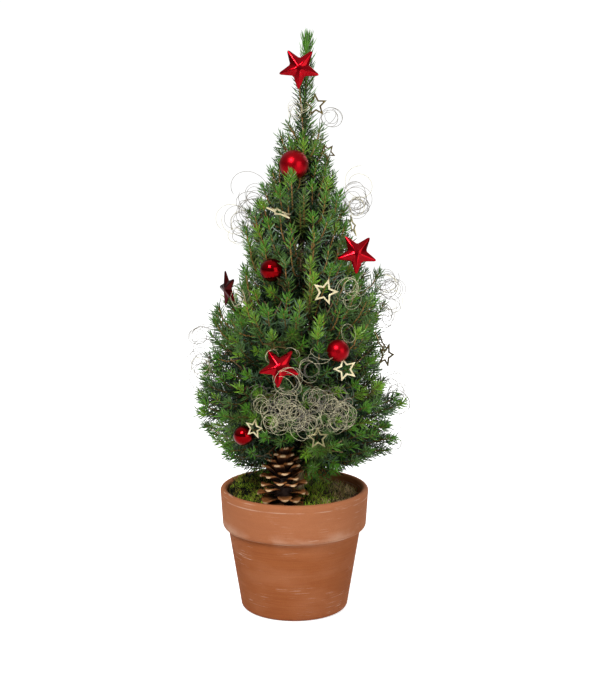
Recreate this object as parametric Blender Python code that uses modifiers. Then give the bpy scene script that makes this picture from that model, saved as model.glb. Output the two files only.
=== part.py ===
"""A dwarf spruce in a terracotta pot, grown as a small Christmas tree, with moss and a pine cone.

Metres, +Z up. The origin is the centre of the pot's flat underside, and the front is -Y.
Every mass of foliage grows by one seeded rule inside a space of its own, so no two can touch.
"""
from collections import namedtuple
from math import atan2, ceil, cos, exp, hypot, pi, radians, sin
from random import Random

import bmesh
import bpy
from mathutils import Matrix, Quaternion, Vector, noise

# Driving dimensions
TREE_HEIGHT = 0.500
GAP = 0.0003

# Pot, turned
POT_HEIGHT = 0.108
RIM_RADIUS = 0.0648
LIP_RADIUS = 0.0028
COLLAR_HEIGHT = 0.0355
COLLAR_FOOT_RADIUS = 0.0630
COLLAR_EDGE = 0.0020
BODY_TOP_RADIUS = 0.0583
FOOT_RADIUS = 0.0472
FOOT_EDGE = 0.0038
POT_FLOOR = 0.0070
INNER_FLOOR_RADIUS = 0.0425
INNER_BODY_RADIUS = 0.0530
INNER_BODY_HEIGHT = 0.0660
INNER_COLLAR_RADIUS = 0.0570
INNER_COLLAR_HEIGHT = 0.0790
TURNING_STEPS = 36
LIP_STEPS = 5
COLLAR_STEPS = 2
FOOT_STEPS = 3

# Soil and moss
SOIL_TOP = 0.0885
MOSS_EDGE_HEIGHT = 0.0975
MOSS_CROWN = 0.0045
MOSS_RINGS = 4
MOSS_STEPS = 32
MOSS_BUMP = 0.0016
MOSS_BUMP_SIZE = 0.0110
TRUNK_HOLE = 0.0015
TRUNK_HOLE_SIDES = 16

# Pine cone: it leans back on the moss, base to the front
CONE_LENGTH = 0.046
CONE_RADIUS = 0.0205
CONE_CORE = 0.0082
CONE_CORE_TIP = 0.0037
CONE_CORE_LENGTH = 0.0396
CONE_WIDEST = 0.33
CONE_BASE_REACH = 0.80
CONE_TIP_REACH = 0.34
CONE_BASE = Vector((-0.0095, -0.0360, 0.1005))
CONE_TILT = radians(4)
CONE_TURN = radians(12)
CONE_SCALES = 34
CONE_SCALE_THICKNESS = 0.0021
CONE_SCALE_WIDTH = 0.0130
CONE_SCALE_NARROWING = 0.62
CONE_SCALE_RISE = (radians(-6), radians(62))
CONE_SCALE_ROOT = (0.5, 0.2)
CONE_ROOM = 1.025

# Trunk
TRUNK_FOOT = Vector((0.0030, 0.0060, SOIL_TOP + GAP))
TRUNK_LEAN = Vector((0.0077, -0.0060, 0.0))
TRUNK_BOW = 0.0015
TRUNK_TOP = 0.486
TRUNK_RADIUS = 0.0052
TRUNK_TIP_RADIUS = 0.0007
FLARE = 0.0030
FLARE_HEIGHT = 0.0080
TRUNK_TAPER = 0.9
TRUNK_SIDES = 10
TRUNK_RINGS = 11
FLARE_RINGS = 6

# Crown: how far it is seen to reach to the left and to the right of the trunk at each height.
# No mass points exactly sideways, so each reaches a little further out on its own azimuth.
OUTLINE_SPREAD = 1.05
CROWN_OUTLINE = (
    (0.112, 0.039, 0.037),
    (0.122, 0.050, 0.046),
    (0.130, 0.063, 0.061),
    (0.139, 0.073, 0.078),
    (0.160, 0.088, 0.084),
    (0.180, 0.092, 0.088),
    (0.200, 0.091, 0.084),
    (0.230, 0.087, 0.076),
    (0.272, 0.076, 0.075),
    (0.290, 0.060, 0.074),
    (0.304, 0.054, 0.058),
    (0.341, 0.053, 0.048),
    (0.375, 0.040, 0.034),
    (0.404, 0.028, 0.022),
    (0.425, 0.021, 0.018),
    (0.441, 0.015, 0.012),
    (0.474, 0.012, 0.009),
    (TREE_HEIGHT, 0.001, 0.001),
)

# Tiers, bottom to top. Each is bounded above by a cone that rises from `top` at `slope`.
Tier = namedtuple("Tier", "name masses top slope first bough shoots length lift")
TIERS = (
    Tier("low", 7, 0.150, 0.42, -11, 0.026, 4, 0.040, 0.35),
    Tier("lower", 7, 0.195, 0.75, 13, 0.024, 4, 0.042, 0.45),
    Tier("middle", 6, 0.245, 1.00, 0, 0.020, 3, 0.042, 0.50),
    Tier("upper", 5, 0.300, 1.25, 54, 0.0, 3, 0.040, 0.60),
    Tier("high", 4, 0.360, 1.50, 45, 0.0, 3, 0.032, 0.70),
    Tier("top", 3, 0.430, 2.00, 30, 0.0, 2, 0.026, 0.80),
)
CROWN_FLOOR = 0.112
CONE_LIFT = 0.040
CONE_LIFT_AZIMUTH = radians(250)
CONE_LIFT_WIDTH = radians(45)
CONE_LIFT_FADE = radians(20)
CONE_CLEARANCE = 0.0030
MASS_MARGIN = 0.0006
STRIDE = 0.0010
CROWN_SEED = 24

# Boughs, twigs and needles
BOUGH_ROOT_RADIUS = 0.0021
BOUGH_STAGGER = 0.35
BOUGH_TIP_RADIUS = 0.0013
BOUGH_SAG = 0.06
BOUGH_COLLAR = 0.12
BOUGH_SIDES = 6
STEM_RADIUS = 0.0011
STEM_SIDES = 4
STEM_LEAD = 0.0040
STEM_SHARE = 0.58
STEM_WANDER = 0.08
LONGEST_STEM = 0.20
AIM = 0.75
AIM_RADIUS = 0.080
END_SHOOT = 0.6
SHOOT_ANGLE = radians(50)
GOLDEN_ANGLE = radians(137.508)
SHOOT_SHORTEST = 0.45
FIRST_SHOOT = 0.15
SHOOT_TRIES = 6
CORE_RADIUS = 0.0026
CORE_ROOT = 0.45
CORE_TIP = 0.30
CORE_BODY = 0.86
CORE_SIDES = 3
NEEDLE_ROWS = 3
NEEDLE_LENGTH = 0.0105
NEEDLE_FORWARD = 0.0070
NEEDLE_VARIES = (0.85, 1.15)
ROW_TWIST = radians(38)
ROOT_SINK = 0.0022
HEART_SEGMENTS = 7
HEART_RINGS = 5
HEART_PLACE = 0.45
HEART_REACH = 0.040
HEART_SHARE = (0.42, 0.60)
HEART_LEAST = 0.0015
NEEDLE_LEAST = 0.0040
HEART_NEEDLE = (0.0120, 0.0187)
LEADER_FOOT = 0.436
LEADER_RADIUS = 0.0030
LEADER_SIDES = 5
LEADER_ROW = 0.0060
LEADER_NEEDLE = 0.0085

TERRACOTTA = (0.50, 0.20, 0.095, 1.0)
SOIL_BROWN = (0.035, 0.022, 0.014, 1.0)
MOSS_GREEN = (0.110, 0.150, 0.020, 1.0)
CONE_BROWN = (0.150, 0.065, 0.022, 1.0)
BARK_BROWN = (0.160, 0.085, 0.045, 1.0)
NEEDLE_GREENS = (
    (0.030, 0.085, 0.030, 1.0),
    (0.040, 0.110, 0.035, 1.0),
    (0.055, 0.135, 0.040, 1.0),
)


# ---------------------------------------------------------------- helpers

def clear_scene():
    """Start from an empty scene."""
    for obj in list(bpy.data.objects):
        bpy.data.objects.remove(obj, do_unlink=True)


def new_collection(name):
    """A collection linked to the scene."""
    collection = bpy.data.collections.new(name)
    bpy.context.scene.collection.children.link(collection)
    return collection


def new_material(name, color, roughness):
    """A Principled material of one colour."""
    material = bpy.data.materials.new(name)
    material.use_nodes = True
    shader = material.node_tree.nodes["Principled BSDF"]
    shader.inputs["Base Color"].default_value = color
    shader.inputs["Roughness"].default_value = roughness
    shader.inputs["Metallic"].default_value = 0.0
    material.diffuse_color = color
    return material


def new_object(name, mesh, collection, material=None):
    """An object for a mesh or curve, in its collection."""
    obj = bpy.data.objects.new(name, mesh)
    collection.objects.link(obj)
    if material is not None:
        mesh.materials.append(material)
    return obj


def mesh_object(name, bm, collection, material=None):
    """An object from a bmesh, which is freed."""
    mesh = bpy.data.meshes.new(name)
    bm.to_mesh(mesh)
    bm.free()
    return new_object(name, mesh, collection, material)


def arc(center, radius, start, end, steps):
    """Points round a centre from one angle to another, in degrees."""
    points = []
    for i in range(steps + 1):
        angle = radians(start + (end - start) * i / steps)
        points.append((center[0] + radius * cos(angle), center[1] + radius * sin(angle)))
    return points


def turned(name, profile, steps, collection, material):
    """A profile of (radius, height) points turned once round Z."""
    bm = bmesh.new()
    verts = [bm.verts.new((x, 0.0, z)) for x, z in profile]
    for a, b in zip(verts, verts[1:]):
        bm.edges.new((a, b))
    obj = mesh_object(name, bm, collection, material)
    screw = obj.modifiers.new("Turn", "SCREW")
    screw.steps = steps
    screw.render_steps = steps
    screw.use_merge_vertices = True
    screw.merge_threshold = 0.00002
    return obj


def tube(name, points, radii, sides, collection, material=None):
    """A limb through the points with its own radius at each, as a closed mesh."""
    curve = bpy.data.curves.new(name, "CURVE")
    curve.dimensions = "3D"
    curve.bevel_depth = 1.0
    curve.bevel_resolution = sides // 2 - 2
    curve.use_fill_caps = True
    spline = curve.splines.new("POLY")
    spline.points.add(len(points) - 1)
    for spline_point, point, radius in zip(spline.points, points, radii):
        spline_point.co = (*point, 1.0)
        spline_point.radius = radius
    guide = new_object(name + "_guide", curve, collection)
    depsgraph = bpy.context.evaluated_depsgraph_get()
    mesh = bpy.data.meshes.new_from_object(guide.evaluated_get(depsgraph))
    bm = bmesh.new()
    bm.from_mesh(mesh)
    bmesh.ops.remove_doubles(bm, verts=bm.verts, dist=0.00001)
    bmesh.ops.recalc_face_normals(bm, faces=bm.faces)
    bpy.data.objects.remove(guide, do_unlink=True)
    bpy.data.curves.remove(curve)
    bpy.data.meshes.remove(mesh)
    return mesh_object(name, bm, collection, material)


def apply_boolean(obj, operation, collection):
    """Apply one Boolean of a whole collection to an object, then remove the collection's objects."""
    modifier = obj.modifiers.new("Join", "BOOLEAN")
    modifier.operation = operation
    modifier.operand_type = "COLLECTION"
    modifier.collection = collection
    modifier.solver = "EXACT"
    depsgraph = bpy.context.evaluated_depsgraph_get()
    mesh = bpy.data.meshes.new_from_object(obj.evaluated_get(depsgraph))
    obj.modifiers.clear()
    obj.data = mesh
    for member in list(collection.objects):
        bpy.data.objects.remove(member, do_unlink=True)
    bpy.data.collections.remove(collection)


def keep_largest_body(obj):
    """Drop loose scraps and the walls of sealed hollows: only the largest shell stays."""
    bm = bmesh.new()
    bm.from_mesh(obj.data)
    bmesh.ops.triangulate(bm, faces=bm.faces)
    unseen = set(bm.verts)
    shells = []
    while unseen:
        shell = {unseen.pop()}
        front = list(shell)
        while front:
            vert = front.pop()
            for edge in vert.link_edges:
                other = edge.other_vert(vert)
                if other in unseen:
                    unseen.discard(other)
                    shell.add(other)
                    front.append(other)
        shells.append(shell)
    shells.sort(key=len)
    for shell in shells[:-1]:
        bmesh.ops.delete(bm, geom=list(shell), context="VERTS")
    bm.to_mesh(obj.data)
    bm.free()


def mix(a, b, t):
    """Straight blend of two values."""
    return a + (b - a) * t


# ---------------------------------------------------------------- pot, soil and moss

def inner_radius(z):
    """Radius of the pot's inner wall at a height."""
    wall = (
        (POT_FLOOR, INNER_FLOOR_RADIUS),
        (INNER_BODY_HEIGHT, INNER_BODY_RADIUS),
        (INNER_COLLAR_HEIGHT, INNER_COLLAR_RADIUS),
        (POT_HEIGHT - LIP_RADIUS, RIM_RADIUS - 2 * LIP_RADIUS),
    )
    for (z0, r0), (z1, r1) in zip(wall, wall[1:]):
        if z <= z1:
            return mix(r0, r1, (z - z0) / (z1 - z0))
    return wall[-1][1]


def make_pot(collection):
    """The turned pot: tapered body, deep collar, rounded lip and a soft foot edge."""
    ledge = POT_HEIGHT - COLLAR_HEIGHT
    profile = [(0.0, POT_FLOOR), (INNER_FLOOR_RADIUS, POT_FLOOR)]
    profile.append((INNER_BODY_RADIUS, INNER_BODY_HEIGHT))
    profile.append((INNER_COLLAR_RADIUS, INNER_COLLAR_HEIGHT))
    profile += arc((RIM_RADIUS - LIP_RADIUS, POT_HEIGHT - LIP_RADIUS), LIP_RADIUS, 180, 0, LIP_STEPS)
    collar_edge = (COLLAR_FOOT_RADIUS - COLLAR_EDGE, ledge + COLLAR_EDGE)
    profile += arc(collar_edge, COLLAR_EDGE, 0, -90, COLLAR_STEPS)
    profile.append((BODY_TOP_RADIUS, ledge))
    profile += arc((FOOT_RADIUS - FOOT_EDGE, FOOT_EDGE), FOOT_EDGE, 0, -90, FOOT_STEPS)
    profile.append((0.0, 0.0))
    material = new_material("terracotta", TERRACOTTA, 0.85)
    return turned("pot", profile, TURNING_STEPS, collection, material)


def make_soil(collection):
    """Potting soil that fills the pot up to the foot of the trunk."""
    floor = POT_FLOOR + GAP
    profile = [(0.0, SOIL_TOP)]
    for z in (SOIL_TOP, INNER_COLLAR_HEIGHT, INNER_BODY_HEIGHT, floor):
        profile.append((inner_radius(z) - GAP, z))
    profile.append((0.0, floor))
    material = new_material("soil", SOIL_BROWN, 0.95)
    return turned("soil", profile, TURNING_STEPS, collection, material)


def cone_room(cone, cutters):
    """A hull round the pine cone, larger all round by about the gap, that presses its dimple."""
    bm = bmesh.new()
    for vert in cone.data.vertices:
        bm.verts.new(vert.co)
    bmesh.ops.convex_hull(bm, input=bm.verts)
    bmesh.ops.delete(bm, geom=[vert for vert in bm.verts if not vert.link_faces], context="VERTS")
    middle = sum((vert.co for vert in bm.verts), Vector()) / len(bm.verts)
    around = Matrix.Translation(middle) @ Matrix.Scale(CONE_ROOM, 4) @ Matrix.Translation(-middle)
    bmesh.ops.transform(bm, verts=bm.verts, matrix=around)
    bmesh.ops.recalc_face_normals(bm, faces=bm.faces)
    return mesh_object("cone_room", bm, cutters)


def make_moss(collection, cutters, cone):
    """A low cushion of moss over the soil, cut clear of the trunk and dimpled under the cone."""
    foot = SOIL_TOP + GAP
    edge = inner_radius(MOSS_EDGE_HEIGHT) - 2 * GAP
    foot_radius = inner_radius(foot) - 2 * GAP
    profile = []
    for i in range(MOSS_RINGS + 1):
        share = i / MOSS_RINGS
        profile.append((edge * share, MOSS_EDGE_HEIGHT + MOSS_CROWN * (1 - share ** 2)))
    profile += [(foot_radius, foot), (0.0, foot)]
    material = new_material("moss", MOSS_GREEN, 0.95)
    moss = turned("moss", profile, MOSS_STEPS, collection, material)
    depsgraph = bpy.context.evaluated_depsgraph_get()
    mesh = bpy.data.meshes.new_from_object(moss.evaluated_get(depsgraph))
    moss.modifiers.clear()
    moss.data = mesh
    for vert in mesh.vertices:
        if vert.co.z > MOSS_EDGE_HEIGHT - GAP and hypot(vert.co.x, vert.co.y) < edge - GAP:
            vert.co.z += MOSS_BUMP * noise.noise(vert.co / MOSS_BUMP_SIZE)
    bpy.ops.mesh.primitive_cylinder_add(
        vertices=TRUNK_HOLE_SIDES, radius=TRUNK_RADIUS + FLARE + TRUNK_HOLE, depth=POT_HEIGHT,
        location=(TRUNK_FOOT.x, TRUNK_FOOT.y, POT_HEIGHT))
    cut(moss, bpy.context.object, "trunk_hole", cutters)
    cut(moss, cone_room(cone, cutters), "cone_room", cutters)
    return moss


def cut(obj, cutter, name, cutters):
    """Keep a cutter in its collection and take it out of an object."""
    for collection in list(cutter.users_collection):
        collection.objects.unlink(cutter)
    cutters.objects.link(cutter)
    cutter.hide_render = True
    cutter.display_type = "WIRE"
    modifier = obj.modifiers.new(name, "BOOLEAN")
    modifier.operation = "DIFFERENCE"
    modifier.object = cutter


# ---------------------------------------------------------------- pine cone

def cone_matrix():
    """Place of the cone: upright on the moss, its tip leaning a little back and to the left."""
    lean = Matrix.Rotation(CONE_TURN, 4, "Z") @ Matrix.Rotation(-CONE_TILT, 4, "X")
    return Matrix.Translation(CONE_BASE) @ lean


def cone_outline(share):
    """Reach of the scales from the cone's axis, from its base (0) to its tip (1)."""
    if share < CONE_WIDEST:
        return CONE_RADIUS * mix(CONE_BASE_REACH, 1.0, sin(pi / 2 * share / CONE_WIDEST))
    fall = ((share - CONE_WIDEST) / (1 - CONE_WIDEST)) ** 1.5
    return CONE_RADIUS * mix(1.0, CONE_TIP_REACH, fall)


def cone_scale(number, scales):
    """One scale: a plate that widens outward, set round the core by the golden angle."""
    share = (number + 0.5) / CONE_SCALES
    rise = mix(*CONE_SCALE_RISE, share)
    root = CONE_CORE * mix(*CONE_SCALE_ROOT, share)
    width = CONE_SCALE_WIDTH * mix(1.0, CONE_SCALE_NARROWING, share)
    length = (cone_outline(share) - root) / cos(rise)
    bm = bmesh.new()
    bmesh.ops.create_cone(bm, cap_ends=True, segments=4, radius1=0.5, radius2=1.0, depth=length,
                          matrix=Matrix.Rotation(pi / 4, 4, "Z"))
    shape = Matrix.Diagonal((CONE_SCALE_THICKNESS / 2 ** 0.5, width / 2 ** 0.5, 1.0, 1.0))
    lay_down = Matrix.Translation((length / 2, 0, 0)) @ Matrix.Rotation(pi / 2, 4, "Y")
    plate = Matrix.Translation((root, 0, 0)) @ Matrix.Rotation(-rise, 4, "Y") @ lay_down
    height = (CONE_CORE_LENGTH - CONE_SCALE_THICKNESS) * share + CONE_SCALE_THICKNESS / 2
    turn = Matrix.Rotation(number * GOLDEN_ANGLE, 4, "Z") @ Matrix.Translation((0, 0, height))
    bmesh.ops.transform(bm, verts=bm.verts, matrix=turn @ plate @ shape)
    return mesh_object("scale", bm, scales)


def make_cone(collection):
    """An open pine cone: a slim core and its scales, laid in place."""
    material = new_material("pine_cone", CONE_BROWN, 0.7)
    bm = bmesh.new()
    bmesh.ops.create_cone(bm, cap_ends=True, segments=10, radius1=CONE_CORE,
                          radius2=CONE_CORE_TIP, depth=CONE_CORE_LENGTH,
                          matrix=Matrix.Translation((0, 0, CONE_CORE_LENGTH / 2)))
    cone = mesh_object("pine_cone", bm, collection, material)
    scales = new_collection("cone_scales")
    for number in range(CONE_SCALES):
        cone_scale(number, scales)
    apply_boolean(cone, "UNION", scales)
    keep_largest_body(cone)
    cone.data.transform(cone_matrix())
    return cone


# ---------------------------------------------------------------- trunk

def trunk_share(z):
    """How far up the trunk a height is: 0 at the soil, 1 at the tip."""
    return (z - TRUNK_FOOT.z) / (TRUNK_TOP - TRUNK_FOOT.z)


def trunk_point(z):
    """Centre of the leaning, slightly bowed trunk at a height."""
    t = trunk_share(z)
    point = TRUNK_FOOT + TRUNK_LEAN * t
    return Vector((point.x - TRUNK_BOW * sin(pi * t), point.y, z))


def trunk_radius(z):
    """Radius of the trunk at a height: an even taper with a root flare at the foot."""
    taper = mix(TRUNK_RADIUS, TRUNK_TIP_RADIUS, min(max(trunk_share(z), 0.0), 1.0) ** TRUNK_TAPER)
    return taper + FLARE * exp(-(z - TRUNK_FOOT.z) / FLARE_HEIGHT)


def trunk_body(name, collection, material, extra):
    """The trunk from its flat foot to its tip, thicker all round by `extra`."""
    heights = [TRUNK_FOOT.z + FLARE_HEIGHT * i / 3 for i in range(FLARE_RINGS)]
    above = heights[-1]
    for i in range(TRUNK_RINGS):
        heights.append(mix(above, TRUNK_TOP, (i + 1) / TRUNK_RINGS))
    points = [trunk_point(z) for z in heights]
    points[1].xy = points[0].xy
    radii = [trunk_radius(z) + extra for z in heights]
    return tube(name, points, radii, TRUNK_SIDES, collection, material)


# ---------------------------------------------------------------- the space of each mass

def crown_reach(z, azimuth):
    """How far the crown reaches from the trunk at a height, in one direction."""
    if z <= CROWN_OUTLINE[0][0]:
        left, right = CROWN_OUTLINE[0][1:]
    elif z >= TREE_HEIGHT:
        left, right = CROWN_OUTLINE[-1][1:]
    else:
        for (z0, l0, r0), (z1, l1, r1) in zip(CROWN_OUTLINE, CROWN_OUTLINE[1:]):
            if z <= z1:
                share = (z - z0) / (z1 - z0)
                left = mix(l0, l1, share)
                right = mix(r0, r1, share)
                break
    return OUTLINE_SPREAD * mix(left, right, (1 + cos(azimuth)) / 2)


def turn_between(a, b):
    """Signed angle from one azimuth to another, within half a turn."""
    return (b - a + pi) % (2 * pi) - pi


def crown_floor(azimuth):
    """Lowest height of the foliage in one direction: it lifts over the pine cone."""
    away = abs(turn_between(CONE_LIFT_AZIMUTH, azimuth))
    share = (CONE_LIFT_WIDTH - away) / CONE_LIFT_FADE
    return CROWN_FLOOR + CONE_LIFT * min(max(share, 0.0), 1.0)


class Space:
    """The room that one mass keeps to: a sector of the crown between two rising cones."""

    def __init__(self, level, index):
        tier = TIERS[level]
        self.azimuth = radians(tier.first) + index * 2 * pi / tier.masses
        self.half = pi / tier.masses
        self.floor = TIERS[level - 1] if level > 0 else None
        self.roof = tier
        self.limb = bough_line(self, tier, index) if tier.bough else []

    def lower(self, radius, azimuth):
        """Height of the lower boundary."""
        if self.floor is None:
            return crown_floor(azimuth)
        return self.floor.top + self.floor.slope * radius

    def upper(self, radius):
        """Height of the upper boundary."""
        return self.roof.top + self.roof.slope * radius

    def middle(self, radius):
        """A point half way up the space, on the mass's own azimuth."""
        low = self.lower(radius, self.azimuth)
        z = mix(low, self.upper(radius), 0.5)
        out = Vector((cos(self.azimuth), sin(self.azimuth), 0.0))
        return trunk_point(z) + out * radius

    def holds(self, point, margin):
        """Whether a point is inside, at least `margin` from every boundary."""
        center = trunk_point(point.z)
        x = point.x - center.x
        y = point.y - center.y
        radius = hypot(x, y)
        azimuth = atan2(y, x)
        side = self.half - abs(turn_between(self.azimuth, azimuth))
        if side <= 0 or radius * sin(min(side, pi / 2)) < margin:
            return False
        if radius < trunk_radius(point.z) + margin or radius > crown_reach(point.z, azimuth) - margin:
            return False
        cone = [CONE_BASE, cone_matrix() @ Vector((0, 0, CONE_LENGTH))]
        if self.floor is None and not clear_of(point, cone, CONE_RADIUS + CONE_CLEARANCE):
            return False
        if self.limb and (point - self.limb[-1]).dot(self.limb[-1] - self.limb[-2]) < 0:
            return False
        slope_margin = margin * (1 + self.roof.slope)
        low = self.lower(radius, azimuth) + slope_margin
        return low < point.z < self.upper(radius) - slope_margin


# ---------------------------------------------------------------- growth

Shoot = namedtuple("Shoot", "root direction length")


def clear_of(point, limb, distance):
    """Whether a point keeps a distance from a limb given as a list of points."""
    for a, b in zip(limb, limb[1:]):
        along = b - a
        t = min(max((point - a).dot(along) / along.length_squared, 0.0), 1.0)
        if (point - a - along * t).length < distance:
            return False
    return True


def run_inside(space, root, direction, longest, margin):
    """How far a straight run from a root stays inside a space."""
    length = 0.0
    while length < longest and space.holds(root + direction * (length + STRIDE), margin):
        length += STRIDE
    return length


def bough_line(space, tier, index):
    """Path of a bough from the trunk to where its foliage begins."""
    thickness = space.upper(0.0) - space.lower(0.0, space.azimuth)
    stagger = BOUGH_STAGGER * ((index * GOLDEN_ANGLE / (2 * pi)) % 1.0 - 0.5)
    end = space.middle(tier.bough)
    start = trunk_point(space.middle(0.0).z + thickness * stagger)
    steep = abs((end - start).normalized().z)
    out = Vector((cos(space.azimuth), sin(space.azimuth), 0.0))
    start += out * (trunk_radius(start.z) + GAP + BOUGH_ROOT_RADIUS * steep)
    sag = Vector((0.0, 0.0, -BOUGH_SAG * (end - start).length))
    return [start, start.lerp(end, BOUGH_COLLAR), start.lerp(end, 0.5) + sag, end]


def grow_mass(level, index):
    """Stem points and shoots of one mass, by the seeded rule.

    The stem goes on outward from the bough's tip, or from the trunk. Shoots leave it by the golden
    angle and turn upward, each as long as its space allows, and one that has no room is skipped.
    """
    tier = TIERS[level]
    space = Space(level, index)
    rng = Random(CROWN_SEED * 1000 + level * 50 + index)
    limb = space.limb
    if limb:
        heading = (limb[-1] - limb[-2]).normalized()
        root = limb[-1] + heading * GAP
    else:
        foot = space.middle(0.0)
        heading = (space.middle(AIM_RADIUS) - foot).normalized()
        near = trunk_radius(foot.z) + GAP + STEM_RADIUS * abs(heading.z)
        root = space.middle(near)
    aim = space.middle(AIM_RADIUS)
    aim.z = mix(space.lower(AIM_RADIUS, space.azimuth), space.upper(AIM_RADIUS), AIM)
    outward = (aim - root).normalized()
    wander = Vector((rng.uniform(-1, 1), rng.uniform(-1, 1), rng.uniform(-0.5, 1)))
    outward = (outward + wander * STEM_WANDER).normalized()
    bend = root + heading * STEM_LEAD
    room = STEM_LEAD + run_inside(space, bend, outward, LONGEST_STEM, MASS_MARGIN)
    stem = [root, bend, bend + outward * (room * STEM_SHARE - STEM_LEAD)]
    shoots = [Shoot(stem[-1], outward, max(room * (1 - STEM_SHARE), tier.length * END_SHOOT))]
    spin = rng.uniform(0, 2 * pi)
    for i in range(tier.shoots):
        share = mix(FIRST_SHOOT, 1.0, (i + 0.5) / tier.shoots)
        base = stem[1].lerp(stem[2], share)
        for attempt in range(SHOOT_TRIES):
            spin += GOLDEN_ANGLE
            shoot = grow_shoot(space, base, outward, spin, tier)
            if shoot:
                shoots.append(shoot)
                break
    return stem, shoots


def grow_shoot(space, base, outward, spin, tier):
    """One side shoot, or nothing where it would leave the space or come near the bough."""
    aside = outward.orthogonal().normalized()
    aside.rotate(Quaternion(outward, spin))
    direction = outward * cos(SHOOT_ANGLE) + aside * sin(SHOOT_ANGLE)
    direction = (direction + Vector((0, 0, tier.lift))).normalized()
    length = run_inside(space, base, direction, tier.length, MASS_MARGIN)
    if length < tier.length * SHOOT_SHORTEST:
        return None
    return Shoot(base, direction, length)


def ringed_core(sides, rings):
    """A prism one unit long with rings round it, to be shaped into the core of a shoot."""
    bm = bmesh.new()
    bmesh.ops.create_cone(bm, cap_ends=True, segments=sides, radius1=1, radius2=1, depth=1,
                          matrix=Matrix.Translation((0, 0, 0.5)))
    upright = [edge for edge in bm.edges if abs(edge.verts[0].co.z - edge.verts[1].co.z) > 0.5]
    bmesh.ops.subdivide_edges(bm, edges=upright, cuts=rings, use_grid_fill=True)
    return bm


def core_swell(share):
    """Thickness of a shoot's core along it, as a share of its greatest."""
    return mix(mix(CORE_ROOT, 1.0, share), mix(1.0, CORE_TIP, share), share)


def shoot_body(shoot, space, rng, collection):
    """A slim twisted core with alternate faces drawn out into needles that point forward."""
    bm = ringed_core(CORE_SIDES, NEEDLE_ROWS)
    upright = Vector((0, 0, 1)).rotation_difference(shoot.direction).to_matrix().to_4x4()
    place = Matrix.Translation(shoot.root) @ upright
    rows = {}
    for face in bm.faces:
        if abs(face.normal.z) < 0.5:
            rows.setdefault(int(face.calc_center_median().z * (NEEDLE_ROWS + 1)), []).append(face)
    for vert in bm.verts:
        share = vert.co.z
        radius = CORE_RADIUS * core_swell(share)
        twist = Matrix.Rotation(share * (NEEDLE_ROWS + 1) * ROW_TWIST, 3, "Z")
        flat = twist @ Vector((vert.co.x, vert.co.y, 0)) * radius
        height = -ROOT_SINK + share * (shoot.length * CORE_BODY + ROOT_SINK)
        vert.co = Vector((flat.x, flat.y, height))
    tip = [face for face in bm.faces if abs(face.normal.z) > 0.9 and face.calc_center_median().z > 0]
    bmesh.ops.poke(bm, faces=tip, offset=shoot.length * (1 - CORE_BODY))
    for row, faces in rows.items():
        if row == 0:
            continue
        for number, face in enumerate(sorted(faces, key=face_order)):
            if (number + row) % 2:
                continue
            draw_needle(bm, face, place, space, rng)
    bmesh.ops.transform(bm, verts=bm.verts, matrix=place)
    bmesh.ops.recalc_face_normals(bm, faces=bm.faces)
    return mesh_object("shoot", bm, collection)


def draw_needle(bm, face, place, space, rng):
    """Draw one face of a core out to a needle's tip, unless the tip would leave the space."""
    center = face.calc_center_median()
    out = Vector((center.x, center.y, 0)).normalized()
    scale = rng.uniform(*NEEDLE_VARIES)
    tip = center + out * NEEDLE_LENGTH * scale + Vector((0, 0, NEEDLE_FORWARD * scale))
    there = place @ tip
    if not space.holds(there, MASS_MARGIN):
        return
    poked = bmesh.ops.poke(bm, faces=[face])
    poked["verts"][0].co = tip


def face_order(face):
    """Order of a face on a round body."""
    return round_order(face.calc_center_median())


def round_order(point):
    """Order of a place on a round body: by height, then round it from just past -X."""
    return round(point.z, 4), (atan2(point.y, point.x) + 0.1) % (2 * pi)


def core_body(space, center, rng, collection):
    """The dense heart of a mass: a body that swells toward the walls of its space, set with needles.

    Every corner and every needle lies on its own ray from the centre, so no two can cross.
    """
    bm = bmesh.new()
    bmesh.ops.create_uvsphere(bm, u_segments=HEART_SEGMENTS, v_segments=HEART_RINGS, radius=1.0)
    faces = sorted(bm.faces, key=face_order)
    for vert in sorted(bm.verts, key=lambda vert: round_order(vert.co)):
        ray = vert.co.normalized()
        room = run_inside(space, center, ray, HEART_REACH, MASS_MARGIN)
        vert.co = center + ray * max(room * rng.uniform(*HEART_SHARE), HEART_LEAST)
    bmesh.ops.recalc_face_normals(bm, faces=bm.faces)
    for face in faces[::2]:
        middle = face.calc_center_median()
        ray = (middle - center).normalized()
        room = run_inside(space, middle, ray, rng.uniform(*HEART_NEEDLE), MASS_MARGIN)
        if room < NEEDLE_LEAST:
            continue
        bmesh.ops.poke(bm, faces=[face])["verts"][0].co = middle + ray * room
    return mesh_object("heart", bm, collection)


def make_mass(level, index, collection, material):
    """One mass of foliage: its stem and shoots joined into one body."""
    stem, shoots = grow_mass(level, index)
    space = Space(level, index)
    rng = Random(CROWN_SEED * 2000 + level * 50 + index)
    name = "foliage_%s_%d" % (TIERS[level].name, index + 1)
    radii = [STEM_RADIUS] * len(stem)
    mass = tube(name, stem, radii, STEM_SIDES, collection, material)
    members = new_collection(name + "_shoots")
    for shoot in shoots:
        shoot_body(shoot, space, rng, members)
    core_body(space, stem[1].lerp(stem[2], HEART_PLACE), rng, members)
    apply_boolean(mass, "UNION", members)
    keep_largest_body(mass)
    return mass


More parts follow.
